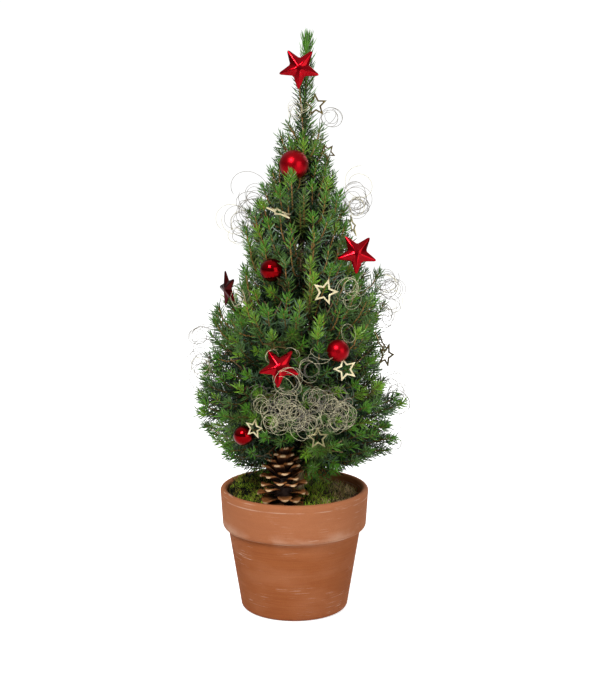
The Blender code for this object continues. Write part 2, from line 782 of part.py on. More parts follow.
def make_leader(collection, material):
    """The leading shoot: a core round the trunk's tip with needles, bored clear of the trunk."""
    rng = Random(CROWN_SEED)
    foot = trunk_point(LEADER_FOOT)
    top = trunk_point(TRUNK_TOP)
    heading = (top - foot).normalized()
    length = (TREE_HEIGHT - LEADER_FOOT) / heading.z
    rows = ceil(length / LEADER_ROW)
    bm = ringed_core(LEADER_SIDES, rows - 1)
    for vert in bm.verts:
        share = vert.co.z
        twist = Matrix.Rotation(share * rows * ROW_TWIST, 3, "Z")
        flat = twist @ Vector((vert.co.x, vert.co.y, 0)) * mix(LEADER_RADIUS, LEADER_RADIUS / 2, share)
        vert.co = Vector((flat.x, flat.y, share * length * CORE_BODY))
    walls = [face for face in bm.faces if abs(face.normal.z) < 0.9]
    tip = [face for face in bm.faces if face.normal.z > 0.9]
    bmesh.ops.poke(bm, faces=tip, offset=length * (1 - CORE_BODY))
    walls.sort(key=face_order)
    for number, face in enumerate(walls):
        if (number + number // LEADER_SIDES) % 2:
            continue
        center = face.calc_center_median()
        out = Vector((center.x, center.y, 0)).normalized()
        scale = rng.uniform(*NEEDLE_VARIES)
        needle = bmesh.ops.poke(bm, faces=[face])["verts"][0]
        forward = min(NEEDLE_FORWARD * scale, length - center.z)
        needle.co = center + out * LEADER_NEEDLE * scale + Vector((0, 0, forward))
    upright = Vector((0, 0, 1)).rotation_difference(heading).to_matrix().to_4x4()
    bmesh.ops.transform(bm, verts=bm.verts, matrix=Matrix.Translation(foot) @ upright)
    bmesh.ops.recalc_face_normals(bm, faces=bm.faces)
    leader = mesh_object("foliage_leader", bm, collection, material)
    bores = new_collection("leader_bore")
    trunk_body("bore", bores, None, GAP)
    apply_boolean(leader, "DIFFERENCE", bores)
    keep_largest_body(leader)
    return leader


def make_bough(level, index, collection, material):
    """One tapering bough, from 0.3 mm off the trunk to where it enters its foliage."""
    tier = TIERS[level]
    limb = Space(level, index).limb
    radii = [mix(BOUGH_ROOT_RADIUS, BOUGH_TIP_RADIUS, i / 3) for i in range(4)]
    name = "bough_%s_%d" % (tier.name, index + 1)
    return tube(name, limb, radii, BOUGH_SIDES, collection, material)


def main():
    """Model the whole plant with its pot."""
    clear_scene()
    collection = new_collection("potted_spruce")
    cutters = new_collection("cutters")
    make_pot(collection)
    make_soil(collection)
    cone = make_cone(collection)
    make_moss(collection, cutters, cone)
    bark = new_material("bark", BARK_BROWN, 0.85)
    trunk_body("trunk", collection, bark, 0.0)
    for level, tier in enumerate(TIERS):
        for index in range(tier.masses):
            if tier.bough:
                make_bough(level, index, collection, bark)
            green = new_material("needles", NEEDLE_GREENS[index % len(NEEDLE_GREENS)], 0.6)
            make_mass(level, index, collection, green)
    make_leader(collection, new_material("needles", NEEDLE_GREENS[-1], 0.6))


main()
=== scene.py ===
"""Looks of a dwarf spruce grown as a small Christmas tree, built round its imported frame.

Metres, +Z up. The origin is the centre of the pot's flat underside, and the front is -Y.
The foliage grows by the source's seeded rule, carried on here to finer twigs and their needles.
"""
from collections import namedtuple
from math import atan2, cos, exp, hypot, pi, radians, sin
from random import Random

import bmesh
import bpy
import numpy as np
from bpy.props import FloatProperty, FloatVectorProperty, IntProperty, PointerProperty
from mathutils import Matrix, Quaternion, Vector, noise
from mathutils.bvhtree import BVHTree


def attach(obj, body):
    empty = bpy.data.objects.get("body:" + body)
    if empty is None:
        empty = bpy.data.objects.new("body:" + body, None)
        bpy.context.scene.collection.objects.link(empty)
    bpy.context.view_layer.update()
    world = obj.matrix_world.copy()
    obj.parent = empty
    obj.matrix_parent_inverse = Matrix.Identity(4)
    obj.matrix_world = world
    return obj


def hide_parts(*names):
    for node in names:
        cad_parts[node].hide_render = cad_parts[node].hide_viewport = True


bl_info = {
    "name": "Potted Christmas Spruce",
    "version": (1, 0, 0),
    "blender": (4, 5, 0),
    "location": "View3D > Sidebar > Spruce",
    "description": "Dresses a potted dwarf spruce with needles, bark, moss and ornaments",
    "category": "Add Mesh",
}

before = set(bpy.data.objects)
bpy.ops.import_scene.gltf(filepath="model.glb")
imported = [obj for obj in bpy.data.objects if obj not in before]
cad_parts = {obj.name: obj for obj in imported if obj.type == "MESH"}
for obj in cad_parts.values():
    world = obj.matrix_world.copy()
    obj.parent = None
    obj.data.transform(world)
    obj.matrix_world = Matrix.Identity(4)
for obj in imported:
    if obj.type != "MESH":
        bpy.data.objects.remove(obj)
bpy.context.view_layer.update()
MERGE = 0.00001
BEVEL_ANGLE = radians(25)


def paint(red, green, blue):
    """A colour as a screen shows it, from 0 to 255, as the linear values a shader takes."""
    return tuple((value / 255) ** 2.2 for value in (red, green, blue))


# ------------------------ dimensions shared with the source

TREE_HEIGHT = 0.500
GAP = 0.0003

POT_HEIGHT = 0.108
RIM_RADIUS = 0.0648
LIP_RADIUS = 0.0028
COLLAR_HEIGHT = 0.0355
COLLAR_FOOT_RADIUS = 0.0630
COLLAR_EDGE = 0.0038
BODY_TOP_RADIUS = 0.0583
FOOT_RADIUS = 0.0472
FOOT_EDGE = 0.0038
POT_FLOOR = 0.0070
INNER_FLOOR_RADIUS = 0.0425
INNER_BODY_RADIUS = 0.0530
INNER_BODY_HEIGHT = 0.0660
INNER_COLLAR_RADIUS = 0.0570
INNER_COLLAR_HEIGHT = 0.0790

SOIL_TOP = 0.0885
CONE_LENGTH = 0.046
CONE_RADIUS = 0.0205
CONE_CORE = 0.0082
CONE_CORE_TIP = 0.0037
CONE_CORE_LENGTH = 0.0396
CONE_WIDEST = 0.33
CONE_BASE_REACH = 0.80
CONE_TIP_REACH = 0.34
CONE_BASE = Vector((-0.0095, -0.0360, 0.1005))
CONE_TILT = radians(4)
CONE_TURN = radians(12)

TRUNK_FOOT = Vector((0.0030, 0.0060, SOIL_TOP + GAP))
TRUNK_LEAN = Vector((0.0077, -0.0060, 0.0))
TRUNK_BOW = 0.0015
TRUNK_TOP = 0.486
TRUNK_RADIUS = 0.0052
TRUNK_TIP_RADIUS = 0.0007
FLARE = 0.0030
FLARE_HEIGHT = 0.0080
TRUNK_TAPER = 0.9

OUTLINE_SPREAD = 1.05
CROWN_OUTLINE = (
    (0.112, 0.039, 0.037), (0.122, 0.050, 0.046), (0.130, 0.063, 0.061), (0.139, 0.073, 0.078),
    (0.160, 0.088, 0.084), (0.180, 0.092, 0.088), (0.200, 0.091, 0.084), (0.230, 0.087, 0.076),
    (0.272, 0.076, 0.075), (0.290, 0.060, 0.074), (0.304, 0.054, 0.058), (0.341, 0.053, 0.048),
    (0.375, 0.040, 0.034), (0.404, 0.028, 0.022), (0.425, 0.021, 0.018), (0.441, 0.015, 0.012),
    (0.474, 0.012, 0.009), (TREE_HEIGHT, 0.001, 0.001),
)
Tier = namedtuple("Tier", "name masses top slope first bough shoots length lift")
TIERS = (
    Tier("low", 7, 0.150, 0.42, -11, 0.026, 4, 0.040, 0.35),
    Tier("lower", 7, 0.195, 0.75, 13, 0.024, 4, 0.042, 0.45),
    Tier("middle", 6, 0.245, 1.00, 0, 0.020, 3, 0.042, 0.50),
    Tier("upper", 5, 0.300, 1.25, 54, 0.0, 3, 0.040, 0.60),
    Tier("high", 4, 0.360, 1.50, 45, 0.0, 3, 0.032, 0.70),
    Tier("top", 3, 0.430, 2.00, 30, 0.0, 2, 0.026, 0.80),
)
CROWN_FLOOR = 0.112
CONE_LIFT = 0.040
CONE_LIFT_AZIMUTH = radians(250)
CONE_LIFT_WIDTH = radians(45)
CONE_LIFT_FADE = radians(20)
CONE_CLEARANCE = 0.0030
MASS_MARGIN = 0.0006
STRIDE = 0.0010
CROWN_SEED = 24

BOUGH_ROOT_RADIUS = 0.0021
BOUGH_STAGGER = 0.35
BOUGH_TIP_RADIUS = 0.0013
BOUGH_SAG = 0.06
BOUGH_COLLAR = 0.12
STEM_RADIUS = 0.0011
STEM_LEAD = 0.0040
STEM_SHARE = 0.58
STEM_WANDER = 0.08
LONGEST_STEM = 0.20
AIM = 0.75
AIM_RADIUS = 0.080
END_SHOOT = 0.6
SHOOT_ANGLE = radians(50)
GOLDEN_ANGLE = radians(137.508)
SHOOT_SHORTEST = 0.45
FIRST_SHOOT = 0.15
SHOOT_TRIES = 6
LEADER_FOOT = 0.436

# ------------------------ finer growth

# Spacing and steepness of the fine shoots of each tier, bottom to top
SHOOT_CROWDING = {"low": 1.0, "lower": 1.0, "middle": 0.98, "upper": 0.94, "high": 0.84,
                  "top": 0.80}
SHOOT_RISE = {"low": 18, "lower": 40, "middle": 66, "upper": 76, "high": 78, "top": 74}
RISE_VARIES = 12
LOWEST_SHOOTS = 0.136
LOWEST_RISE = 0
SHOOT_SWING = 26
OUTER_DEPTH = (0.88, 1.0)
INNER_DEPTH = (0.30, 0.84)
LOW_WIDENING = 0.12
WIDENING_TOP = 0.34
WIDENING_FALL = 0.20
WIDENING_FOOT = 0.122
WIDENING_RISE = 0.030
LOBE_DEPTH = 0.13
LOBE_SIZE = 0.028
NEEDLE_REACH = 0.0070
HIGHEST_TIP = 0.4200
LOWEST_TIP = 0.1180
TIP_TRIES = 150
SHOOT_VARIES = (0.80, 1.25)
# The gap in front through which the trunk shows, and the one the pine cone stands in
WINDOW_HEIGHTS = (0.285, 0.350)
WINDOW_HALF_WIDTH = 0.0070
CONE_WINDOW_TOP = 0.163
CONE_WINDOW_HALF_WIDTH = 0.0205
SKELETON_STEP = 0.0020
CONTROL_SHARE = 0.80
NEEDLED_SHARE = 1.15
TUFT_LENGTH = 0.0050
TUFT_NEEDLES = 16
NEEDLE_SPREAD = radians(62)
TIP_SPREAD = radians(44)
TUFT_SPREAD = (radians(60), 0.12)
TUFT_SHORTENS = (0.88, 0.60)
TUFT_THINS = 0.8
YOUNG_FROM = 0.55
YOUNG_FADE = 0.45
YOUNG_END = 0.72
YOUNG_SHARE = 0.55
NEEDLE_VARIES = (0.78, 1.10)
NEEDLE_BEND = 0.10
NEEDLE_LIFT = 0.05
INNER_DENSITY = 0.60
INNER_WIDTH = 1.45
TWIG_RINGS = 6
TWIG_SIDES = 5
OLD_RINGS = 2
TWIG_RADII = (0.00095, 0.00045)
# Painted shade: tiers whose sprays and outer twigs are coloured darker
SHADED_TIERS = ("low", "lower")
LIMB_SHARE = 0.52
SKEW = np.array((0.31, 0.17, 0.93))
LEADER_NEEDLES = 330
LEADER_NEEDLE = 0.0150
LEADER_LOW = 0.386
LEADER_SPREAD = (radians(58), radians(26))
LEADER_TUFT = 64
LEADER_TUFT_FOOT = 0.4760
LEADER_TUFT_SPREAD = (radians(2), radians(24))
LEADER_FRESH = (0.10, 0.95)
LEADER_DULL = (0.50, 0.05)

# Blades: corners as shares of the width, of the length and of the bend, and their faces
THIRDS = [(cos(2 * pi * i / 3), sin(2 * pi * i / 3)) for i in range(3)]
STRAND_CORNERS = [(0, 0, 0, 0)] + [(x, y, 0.36, 0) for x, y in THIRDS] + [(0, 0, 1, 1)]
STRAND_FACES = ((0, 2, 1), (0, 3, 2), (0, 1, 3), (4, 1, 2), (4, 2, 3), (4, 3, 1))
NEEDLE_CORNERS = ([(x * 0.6, y * 0.6, 0, 0) for x, y in THIRDS]
                  + [(x, y, 0.66, 0.25) for x, y in THIRDS] + [(0, 0, 1, 1)])
NEEDLE_FACES = ((0, 2, 1), (0, 1, 4), (0, 4, 3), (1, 2, 5), (1, 5, 4), (2, 0, 3), (2, 3, 5),
                (3, 4, 6), (4, 5, 6), (5, 3, 6))

NEEDLE_SHADES = ("deep", "old", "blue", "mid", "olive", "fresh", "lime")
SHADE_SLOTS = {"deep": "dark", "old": "dark", "blue": "dark", "mid": "mid", "olive": "mid",
               "fresh": "fresh", "lime": "fresh"}
NEEDLE_GROUPS = (("low",), ("lower",), ("middle",), ("upper", "high", "top"))

# ------------------------ tables

# Lengths in the tables are in tenths of a millimetre.
TENTHS = 10000
TABLE_LENGTHS = ("height", "out", "size", "length", "wide", "tall", "radius")


def table(kind, *rows):
    """Rows of a table as named tuples, with their lengths in metres."""
    made = []
    for row in rows:
        item = kind(*row)
        lengths = {name: getattr(item, name) / TENTHS for name in kind._fields
                   if name in TABLE_LENGTHS}
        made.append(item._replace(**lengths))
    return made


# Greens dealt to the sprays and to their tips, each with its share
# Painted shade: the low tiers' sprays are dealt mostly the dark old green
LOW_SHADED_GREENS = {"old": 0.66, "blue": 0.11, "mid": 0.09, "olive": 0.14}
OUTER_GREENS = {"old": 0.40, "blue": 0.20, "mid": 0.26, "olive": 0.14}
OUTER_TIPS = {"mid": 0.30, "fresh": 0.46, "lime": 0.24}
# Painted shade: the inner sprays are dealt the darkest greens, and darker tips than the outer ones
INNER_SHADED_GREENS = {"deep": 0.72, "old": 0.22, "blue": 0.06}
INNER_SHADED_TIPS = {"old": 0.6, "mid": 0.4}

# Single shoots that stand in front: azimuth, height and distance of the tip from the trunk, its
# tier, the green of its tip, its steepness, its length and the azimuth in which it points, which
# is its own unless it is given
FrontShoot = namedtuple("FrontShoot", "azimuth height out tier tuft rise length heading",
                        defaults=(26, 300, None))
FRONT_SHOOTS = table(
    FrontShoot,
    (-103, 3890, 460, 4, "fresh", 84, 500, -110), (-104, 3200, 560, 3, "mid", 86, 520),
    (-80, 3060, 600, 3, "lime", 84, 460, -70), (-77, 2720, 700, 2, "lime", 84, 440, -80),
    (-120, 2790, 620, 3, "fresh", 80, 480, -130), (-140, 2960, 660, 3, "mid", 80, 500, -150),
    (-78, 2500, 780, 2, "fresh", 76, 360, -84), (-50, 2600, 760, 2, "lime", 78, 420, -40),
    (-112, 2440, 800, 2, "fresh", 60, 360, -110), (-14, 3040, 700, 3, "mid", 70, 440, -20),
    (-172, 2620, 760, 2, "fresh", 70, 440, -175), (-104, 1370, 110, 0, "mid", -30, 260, -100),
    (-80, 1330, 130, 0, "fresh", -40, 260, -60), (-126, 1360, 170, 0, "mid", -36, 280),
    (-95, 1480, 180, 0, "mid", -10, 280), (-120, 1500, 240, 0, "fresh", -6, 280, -125),
    (-38, 1960, 880, 1, "mid", 40, 340, -45), (-8, 1880, 960, 1, "lime", 34, 380, -10),
    (-173, 1790, 880, 1, "lime", 30, 360, -170), (-12, 1560, 900, 0, "fresh", 14, 400, -10),
    (-14, 1440, 860, 0, "mid", 4, 400, -12), (-168, 1590, 820, 0, "fresh", 14, 400),
    (-60, 1330, 500, 0, "lime", -20, 300, -70), (-48, 1300, 560, 0, "fresh", -14, 320, -50),
    (-74, 1400, 560, 0, "mid", -10, 300, -80), (-150, 1330, 300, 0, "fresh", -40, 260),
    (-118, 2425, 812, 2, "lime"), (-123, 2226, 854, 1, "fresh"), (-114, 2068, 874, 1, "lime"),
    (-150, 2307, 859, 2, "fresh"), (-65, 2093, 837, 1, "lime"), (-52, 2128, 820, 1, "fresh"),
    (-56, 2257, 792, 2, "fresh"), (-79, 2250, 811, 2, "mid"), (-95, 2574, 775, 2, "fresh"),
    (-115, 2892, 645, 2, "lime"), (-86, 2016, 869, 1, "lime"), (-121, 1945, 897, 1, "fresh"),
    (-116, 1878, 899, 1, "lime"), (-135, 2206, 865, 1, "fresh"), (-85, 1528, 820, 0, "lime", -4),
    (-76, 1551, 833, 0, "fresh", -4), (-64, 1421, 777, 0, "fresh", -4),
    (-135, 1976, 901, 1, "mid"), (-45, 1928, 862, 1, "fresh"), (-134, 2550, 795, 2, "mid"),
    (-99, 2405, 803, 2, "mid"), (-72, 2430, 783, 2, "mid"), (-79, 2628, 765, 2, "lime", 84, 420),
    (-45, 2611, 757, 2, "fresh", 84, 400), (-101, 3374, 512, 3, "fresh", 84, 560),
    (-82, 3181, 535, 2, "lime", 84, 500), (-150, 3062, 541, 2, "fresh", 84, 440),
    (-126, 3310, 525, 3, "fresh", 84, 400), (-59, 3705, 371, 4, "fresh", 84, 400),
    (-121, 3754, 380, 4, "fresh", 84, 440), (-89, 3724, 376, 4, "mid", 84, 440),
    (-14, 1960, 900, 1, "fresh", 44, 360, -30), (-9, 1540, 900, 0, "fresh", 22, 380, -14),
    (-160, 4270, 185, 5, "mid", 58, 260), (-20, 4255, 155, 5, "mid", 78, 260),
    (-150, 4118, 175, 5, "fresh", 48, 240), (-165, 4045, 265, 5, "mid", 52, 280),
    (-165, 3900, 300, 4, "fresh", 70, 340), (-170, 3760, 360, 4, "fresh", 74, 360, -172),
    (-15, 4095, 185, 5, "fresh", 78), (-60, 3950, 210, 5, "fresh", 84, 320),
    (-10, 3860, 270, 4, "mid", 76, 340), (-10, 3705, 335, 4, "fresh", 78, 360),
    (-95, 4200, 120, 5, "fresh", 80, 260), (-150, 4640, 80, 5, "mid", 84, 460, 170),
    (60, 4200, 140, 5, "fresh", 74, 280), (120, 4100, 170, 5, "mid", 70, 280),
)

# Each ornament's place is its azimuth round the trunk, its height and its distance from the trunk.
# A star faces along its own azimuth and elevation, and is rolled about that.
Ornament = namedtuple("Ornament", "azimuth height out size faces rises roll", defaults=(0, 0, 0))
RED_STARS = table(
    Ornament,
    (-118, 4672, 125, 211, -93, 6, 34), (-36, 3157, 572, 208, -86, 12, 33),
    (-101, 2290, 860, 206, -93, 20, 34), (44, 2600, 740, 190, 46, 12, 10),
    (84, 3300, 520, 188, 86, 12, 40), (134, 2200, 840, 194, 134, 16, 22),
    (70, 1850, 880, 192, 72, 8, -8),
)
# Painted shade: this red star is coloured dark because it stands in shade
RED_STARS_PAINTED_SHADE = table(Ornament, (-158, 2850, 660, 192, -152, 0, 18))
SATIN_BAUBLES = table(
    Ornament,
    (-108, 3885, 255, 122), (-66, 2400, 770, 92), (56, 3000, 540, 112), (124, 1750, 830, 100),
)
GLOSSY_BAUBLES = table(
    Ornament,
    (-117, 3034, 530, 98), (-121, 1702, 875, 84), (60, 2140, 790, 100), (108, 2500, 710, 98),
    (138, 3350, 440, 95),
)
PALE_STARS = table(
    Ornament,
    (-74, 2880, 720, 110, -92, 8, -16), (-63, 2252, 825, 104, -84, 16, 16),
    (-115, 3502, 440, 116, -27, 68, 25), (-114, 1775, 890, 88, -52, 26, -26),
    (18, 3350, 460, 102, 16, 14, 12), (48, 2250, 830, 104, 50, 18, -10),
    (104, 2050, 900, 104, 104, 12, 4), (135, 2800, 650, 100, 134, 20, -18),
)
OLIVE_STARS = table(Ornament, (-80, 1712, 905, 94, -90, 12, 3))
# Painted shade: gold stars coloured dark because their faces turn away from the light
GOLD_STARS_PAINTED_SHADE = table(
    Ornament,
    (-27, 2410, 765, 104, -16, 30, 10), (-18, 2280, 775, 106, -45, 0, -22),
    (-14, 4371, 90, 104, -78, 0, 4), (-27, 3984, 225, 78, -62, 10, 28),
    (-104, 2462, 780, 108, -90, 74, 12), (-105, 2930, 570, 80, -30, 40, 12),
    (96, 2950, 590, 100, 98, 10, 24), (146, 1750, 890, 102, 148, 10, 15),
    (90, 4050, 230, 98, 90, 10, 0),
)
# Curled fibre: bundles of loops, laid flat on the crown (1) or hanging loose from it (0)
Bundle = namedtuple("Bundle", "azimuth height out wide tall loops radius laid")
BUNDLES = table(
    Bundle,
    (-104, 1990, 870, 140, 80, 14, 62, 1), (-92, 1900, 880, 180, 90, 26, 66, 1),
    (-72, 1930, 870, 160, 130, 38, 66, 1), (-84, 1980, 870, 260, 60, 7, 80, 1),
    (-100, 1800, 890, 100, 60, 6, 66, 1), (-79, 1800, 880, 200, 40, 6, 62, 1),
    (-96, 2160, 922, 20, 20, 5, 88, 1), (-82, 2260, 830, 30, 30, 3, 88, 1),
    (-88, 2330, 800, 260, 80, 4, 75, 1), (-59, 2540, 780, 10, 10, 2, 64, 1),
    (-50, 2840, 730, 100, 100, 7, 78, 1), (-141, 2830, 680, 60, 80, 4, 74, 1),
    (-6, 2800, 770, 60, 120, 12, 78, 0), (-10, 2640, 780, 80, 80, 6, 75, 0),
    (-4, 3600, 500, 60, 110, 11, 80, 0), (-172, 3560, 470, 60, 100, 7, 100, 0),
    (-172, 3350, 570, 50, 100, 7, 85, 0), (-163, 2240, 885, 100, 220, 10, 88, 0),
    (-4, 1890, 870, 40, 140, 10, 78, 0), (-8, 1500, 870, 60, 60, 4, 70, 0),
    (-3, 4270, 225, 10, 10, 3, 82, 0), (-120, 4300, 110, 60, 80, 7, 50, 1),
    (40, 1950, 870, 240, 140, 18, 76, 1), (62, 2450, 770, 160, 140, 9, 76, 1),
    (92, 2000, 900, 260, 140, 20, 76, 1), (108, 3150, 560, 140, 160, 9, 78, 1),
    (144, 2450, 800, 160, 140, 10, 78, 1), (70, 3600, 420, 100, 140, 7, 76, 0),
    (125, 1550, 850, 140, 80, 8, 73, 1),
)


# ------------------------ settings

def color_setting(name, description, red, green, blue):
    """A colour that a user may change, as a screen shows it."""
    return FloatVectorProperty(name=name, description=description, size=3, subtype="COLOR",
                               default=paint(red, green, blue))


def length_setting(name, description, default):
    """A length in metres that a user may change."""
    return FloatProperty(name=name, description=description, default=default, unit="LENGTH")


class PotLooks(bpy.types.PropertyGroup):
    """Clay of the pot."""

    steps: IntProperty(name="Turning steps", description="Sides of the turned pot", default=144,
                       min=24, max=256)
    ridge: length_setting("Throwing ridges", "Height of the ridges left by throwing", 0.00012)
    clay: color_setting("Clay", "Fired clay of the body", 162, 94, 54)
    deep: color_setting("Deep clay", "Darker, redder clay", 138, 74, 40)
    bloom: color_setting("Bloom", "Pale salts on the collar", 192, 128, 92)


class GroundLooks(bpy.types.PropertyGroup):
    """Soil, moss and pine cone."""

    strand: length_setting("Moss strand", "Length of a strand of moss", 0.0074)
    tufts: IntProperty(name="Moss tufts", description="Tufts of moss on the cushion", default=1650)
    olive: color_setting("Olive moss", "Moss on the left", 140, 134, 56)
    bright: color_setting("Bright moss", "Moss in front", 168, 202, 62)
    # Painted shade: the near-black green of the cushion and of the dark tufts between the clumps
    deep: color_setting("Deep moss", "Shaded moss", 16, 22, 6)
    dry: color_setting("Dry moss", "Dry moss on the right", 206, 180, 130)
    scales: IntProperty(name="Cone scales", description="Scales of the pine cone", default=58)
    scale_brown: color_setting("Scale", "Body of a cone scale", 144, 90, 46)
    scale_tip: color_setting("Scale tip", "Rim of a cone scale", 212, 176, 134)


class FoliageLooks(bpy.types.PropertyGroup):
    """Needles and twigs."""

    needle: length_setting("Needle", "Length of a needle", 0.0098)
    width: length_setting("Needle width", "Greatest width of a needle", 0.00094)
    density: FloatProperty(name="Needles per metre", description="Needles along a shoot",
                           default=1300)
    outer: length_setting("Outer spacing", "Least distance between outer tips", 0.0122)
    inner: length_setting("Inner spacing", "Least distance between inner tips", 0.0130)
    # Painted shade: the darkest green, dealt to the inner sprays that stand in shade
    deep: color_setting("Inner needles", "Darkest green", 11, 22, 11)
    old: color_setting("Old needles", "Deep green", 30, 54, 28)
    blue: color_setting("Blue needles", "Blue-grey green", 100, 130, 98)
    mid: color_setting("Mid needles", "Middle green", 80, 114, 54)
    olive: color_setting("Olive needles", "Olive green", 94, 114, 52)
    fresh: color_setting("Fresh needles", "Fresh green", 86, 138, 44)
    lime: color_setting("Lime needles", "Youngest tips", 116, 160, 48)
    twig: color_setting("Young twig", "Orange-brown bark", 152, 112, 64)
    wood: color_setting("Old twig", "Brown bark", 112, 84, 58)
    # Painted shade: darker bark for the outer twigs of the low tiers
    dull: color_setting("Low twig", "Duller bark low in the crown", 100, 80, 42)


class OrnamentLooks(bpy.types.PropertyGroup):
    """Stars, baubles and curled fibre."""

    star_depth: length_setting("Red star depth", "Half thickness at the middle", 0.0036)
    frame_width: length_setting("Gold star frame", "Width of the outline's bars", 0.0013)
    strand: length_setting("Fibre", "Thickness of a strand of fibre", 0.00030)
    red: color_setting("Red", "Red foil", 180, 5, 27)
    # Painted reflection: the glossy baubles' red is darkened to stand in for the dark surroundings
    # they reflect
    glossy_red_painted_shade: color_setting("Wine red", "Red of the glossy baubles", 146, 2, 16)
    # Painted shade: the red foil darkened for the star that stands in shade
    shaded_red: color_setting("Maroon", "Darkest red foil", 70, 4, 10)
    gold: color_setting("Pale gold", "Pale gold foil", 238, 226, 184)
    olive_gold: color_setting("Olive gold", "Dull greenish foil", 158, 150, 108)
    # Painted shade: the gold foil darkened for the stars whose faces turn from the light
    gold_painted_shade: color_setting("Dark gold", "Darker gold foil", 98, 86, 52)
    cream: color_setting("Cream fibre", "Most of the fibre", 214, 206, 168)
    # Greyer fibre: some greyer strands among the laid curls, and painted shade on most loose curls,
    # which stand against the white backdrop
    silver_and_painted_shade: color_setting("Silver fibre", "Greyer strands", 130, 124, 112)


class StageLooks(bpy.types.PropertyGroup):
    """Camera, light and floor."""

    distance: length_setting("Camera distance", "In front of the pot's axis", 1.160)
    height: length_setting("Camera height", "Above the floor", 0.431)
    pitch: FloatProperty(name="Pitch", description="How far the camera looks down",
                         default=0.1724, subtype="ANGLE")
    lens: FloatProperty(name="Lens", description="Focal length in millimetres", default=70.16)
    aside: length_setting("Aside", "Camera's offset to the right", 0.0049)
    floor: FloatVectorProperty(name="Floor", size=3, description="Pale floor",
                               default=(0.85, 0.85, 0.85), subtype="COLOR")
    glow: FloatProperty(name="Floor glow", description="How far the floor is lit up to white",
                        default=0.70)
    key: FloatProperty(name="Key light", description="Power of the main light", default=24.6)
    sky: FloatProperty(name="Sky", description="Strength of the light from overhead", default=0.57)
    ground: FloatProperty(name="Low light", description="Strength of the light from all round",
                          default=0.05)


# ------------------------ helpers

def mix(a, b, t):
    """Straight blend of two values."""
    return a + (b - a) * t


def clamp(value):
    """A value kept between 0 and 1."""
    return min(max(value, 0.0), 1.0)


def deselect():
    """Nothing selected, in object mode."""
    bpy.ops.object.select_all(action="DESELECT")


def choose(obj):
    """One object selected and active."""
    deselect()
    obj.select_set(True)
    bpy.context.view_layer.objects.active = obj


def edit(obj, selection="DESELECT"):
    """Open an object in edit mode with nothing selected, or all of it by SELECT."""
    choose(obj)
    bpy.ops.object.mode_set(mode="EDIT")
    bpy.ops.mesh.select_all(action=selection)


def close():
    """Leave edit mode."""
    bpy.ops.object.mode_set(mode="OBJECT")


def pick(kind, test):
    """Select the verts or faces of the open mesh whose place passes a test."""
    bpy.ops.mesh.select_mode(type=kind)
    bm = bmesh.from_edit_mesh(bpy.context.object.data)
    for part in bm.verts if kind == "VERT" else bm.faces:
        place = part.co if kind == "VERT" else part.calc_center_median()
        part.select_set(bool(test(place)))
    bm.select_flush_mode()
    bmesh.update_edit_mesh(bpy.context.object.data)


def scale_picked(x, y, z=1):
    """Scale what is selected about the origin."""
    bpy.ops.transform.resize(value=(x, y, z), center_override=(0, 0, 0))


def shift_picked(x, y, z):
    """Move what is selected."""
    bpy.ops.transform.translate(value=(x, y, z))


def turned(name, rings, steps):
    """A disc drawn on from ring to ring of (radius, height), as clay is raised on a wheel."""
    radius, height = rings[0]
    deselect()
    bpy.ops.mesh.primitive_circle_add(vertices=steps, radius=radius, fill_type="NGON",
                                      location=(0, 0, height))
    obj = bpy.context.object
    obj.name = name
    bpy.ops.object.transform_apply()
    edit(obj, "SELECT")
    for (r0, z0), (r1, z1) in zip(rings, rings[1:]):
        bpy.ops.mesh.extrude_region_move(TRANSFORM_OT_translate={"value": (0, 0, z1 - z0)})
        bpy.ops.transform.resize(value=(r1 / r0, r1 / r0, 1), center_override=(0, 0, z1))
    bpy.ops.mesh.select_all(action="SELECT")
    bpy.ops.mesh.normals_make_consistent(inside=False)
    close()
    return obj


def modify(obj, kind, **values):
    """Put one modifier on an object, set its values and apply it."""
    choose(obj)
    modifier = obj.modifiers.new(kind.title(), kind)
    for name, value in values.items():
        setattr(modifier, name, value)
    bpy.ops.object.modifier_apply(modifier=modifier.name)


def bevelled(obj, width, segments):
    """Soften an object's edges."""
    modify(obj, "BEVEL", width=width, segments=segments, limit_method="ANGLE",
           angle_limit=BEVEL_ANGLE)


def smooth(obj, angle=180):
    """Shade smooth up to an angle in degrees."""
    choose(obj)
    bpy.ops.object.shade_smooth_by_angle(angle=radians(angle))


def linked(name, data):
    """A new object in the scene."""
    obj = bpy.data.objects.new(name, data)
    bpy.context.scene.collection.objects.link(obj)
    return obj


def placed_copy(source, name, matrix):
    """A copy of a modelled piece with its own mesh, its place in the mesh."""
    obj = linked(name, source.data.copy())
    obj.data.transform(matrix)
    return obj


def joined(name, objects):
    """Several objects joined into one."""
    deselect()
    for obj in objects:
        obj.select_set(True)
    bpy.context.view_layer.objects.active = objects[0]
    if len(objects) > 1:
        bpy.ops.object.join()
    objects[0].name = name
    return objects[0]


def remove(obj):
    """Drop a model that was only copied from."""
    bpy.data.objects.remove(obj, do_unlink=True)


def finished(obj, material, nodes=()):
    """Give a piece its material, and let it ride and stand for its nodes."""
    if material is not None:
        obj.data.materials.clear()
        obj.data.materials.append(material)
    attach(obj, "root")
    if nodes:
        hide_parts(*nodes)


def array_mesh(name, verts, faces, shades, materials, rounded=True):
    """A joined mesh from arrays of vertices and faces, with a material index for each face."""
    mesh = bpy.data.meshes.new(name)
    mesh.from_pydata(verts.tolist(), [], faces.tolist())
    for material in materials:
        mesh.materials.append(material)
    mesh.polygons.foreach_set("material_index", shades)
    mesh.polygons.foreach_set("use_smooth", np.full(len(faces), rounded))
    mesh.update()
    return linked(name, mesh)


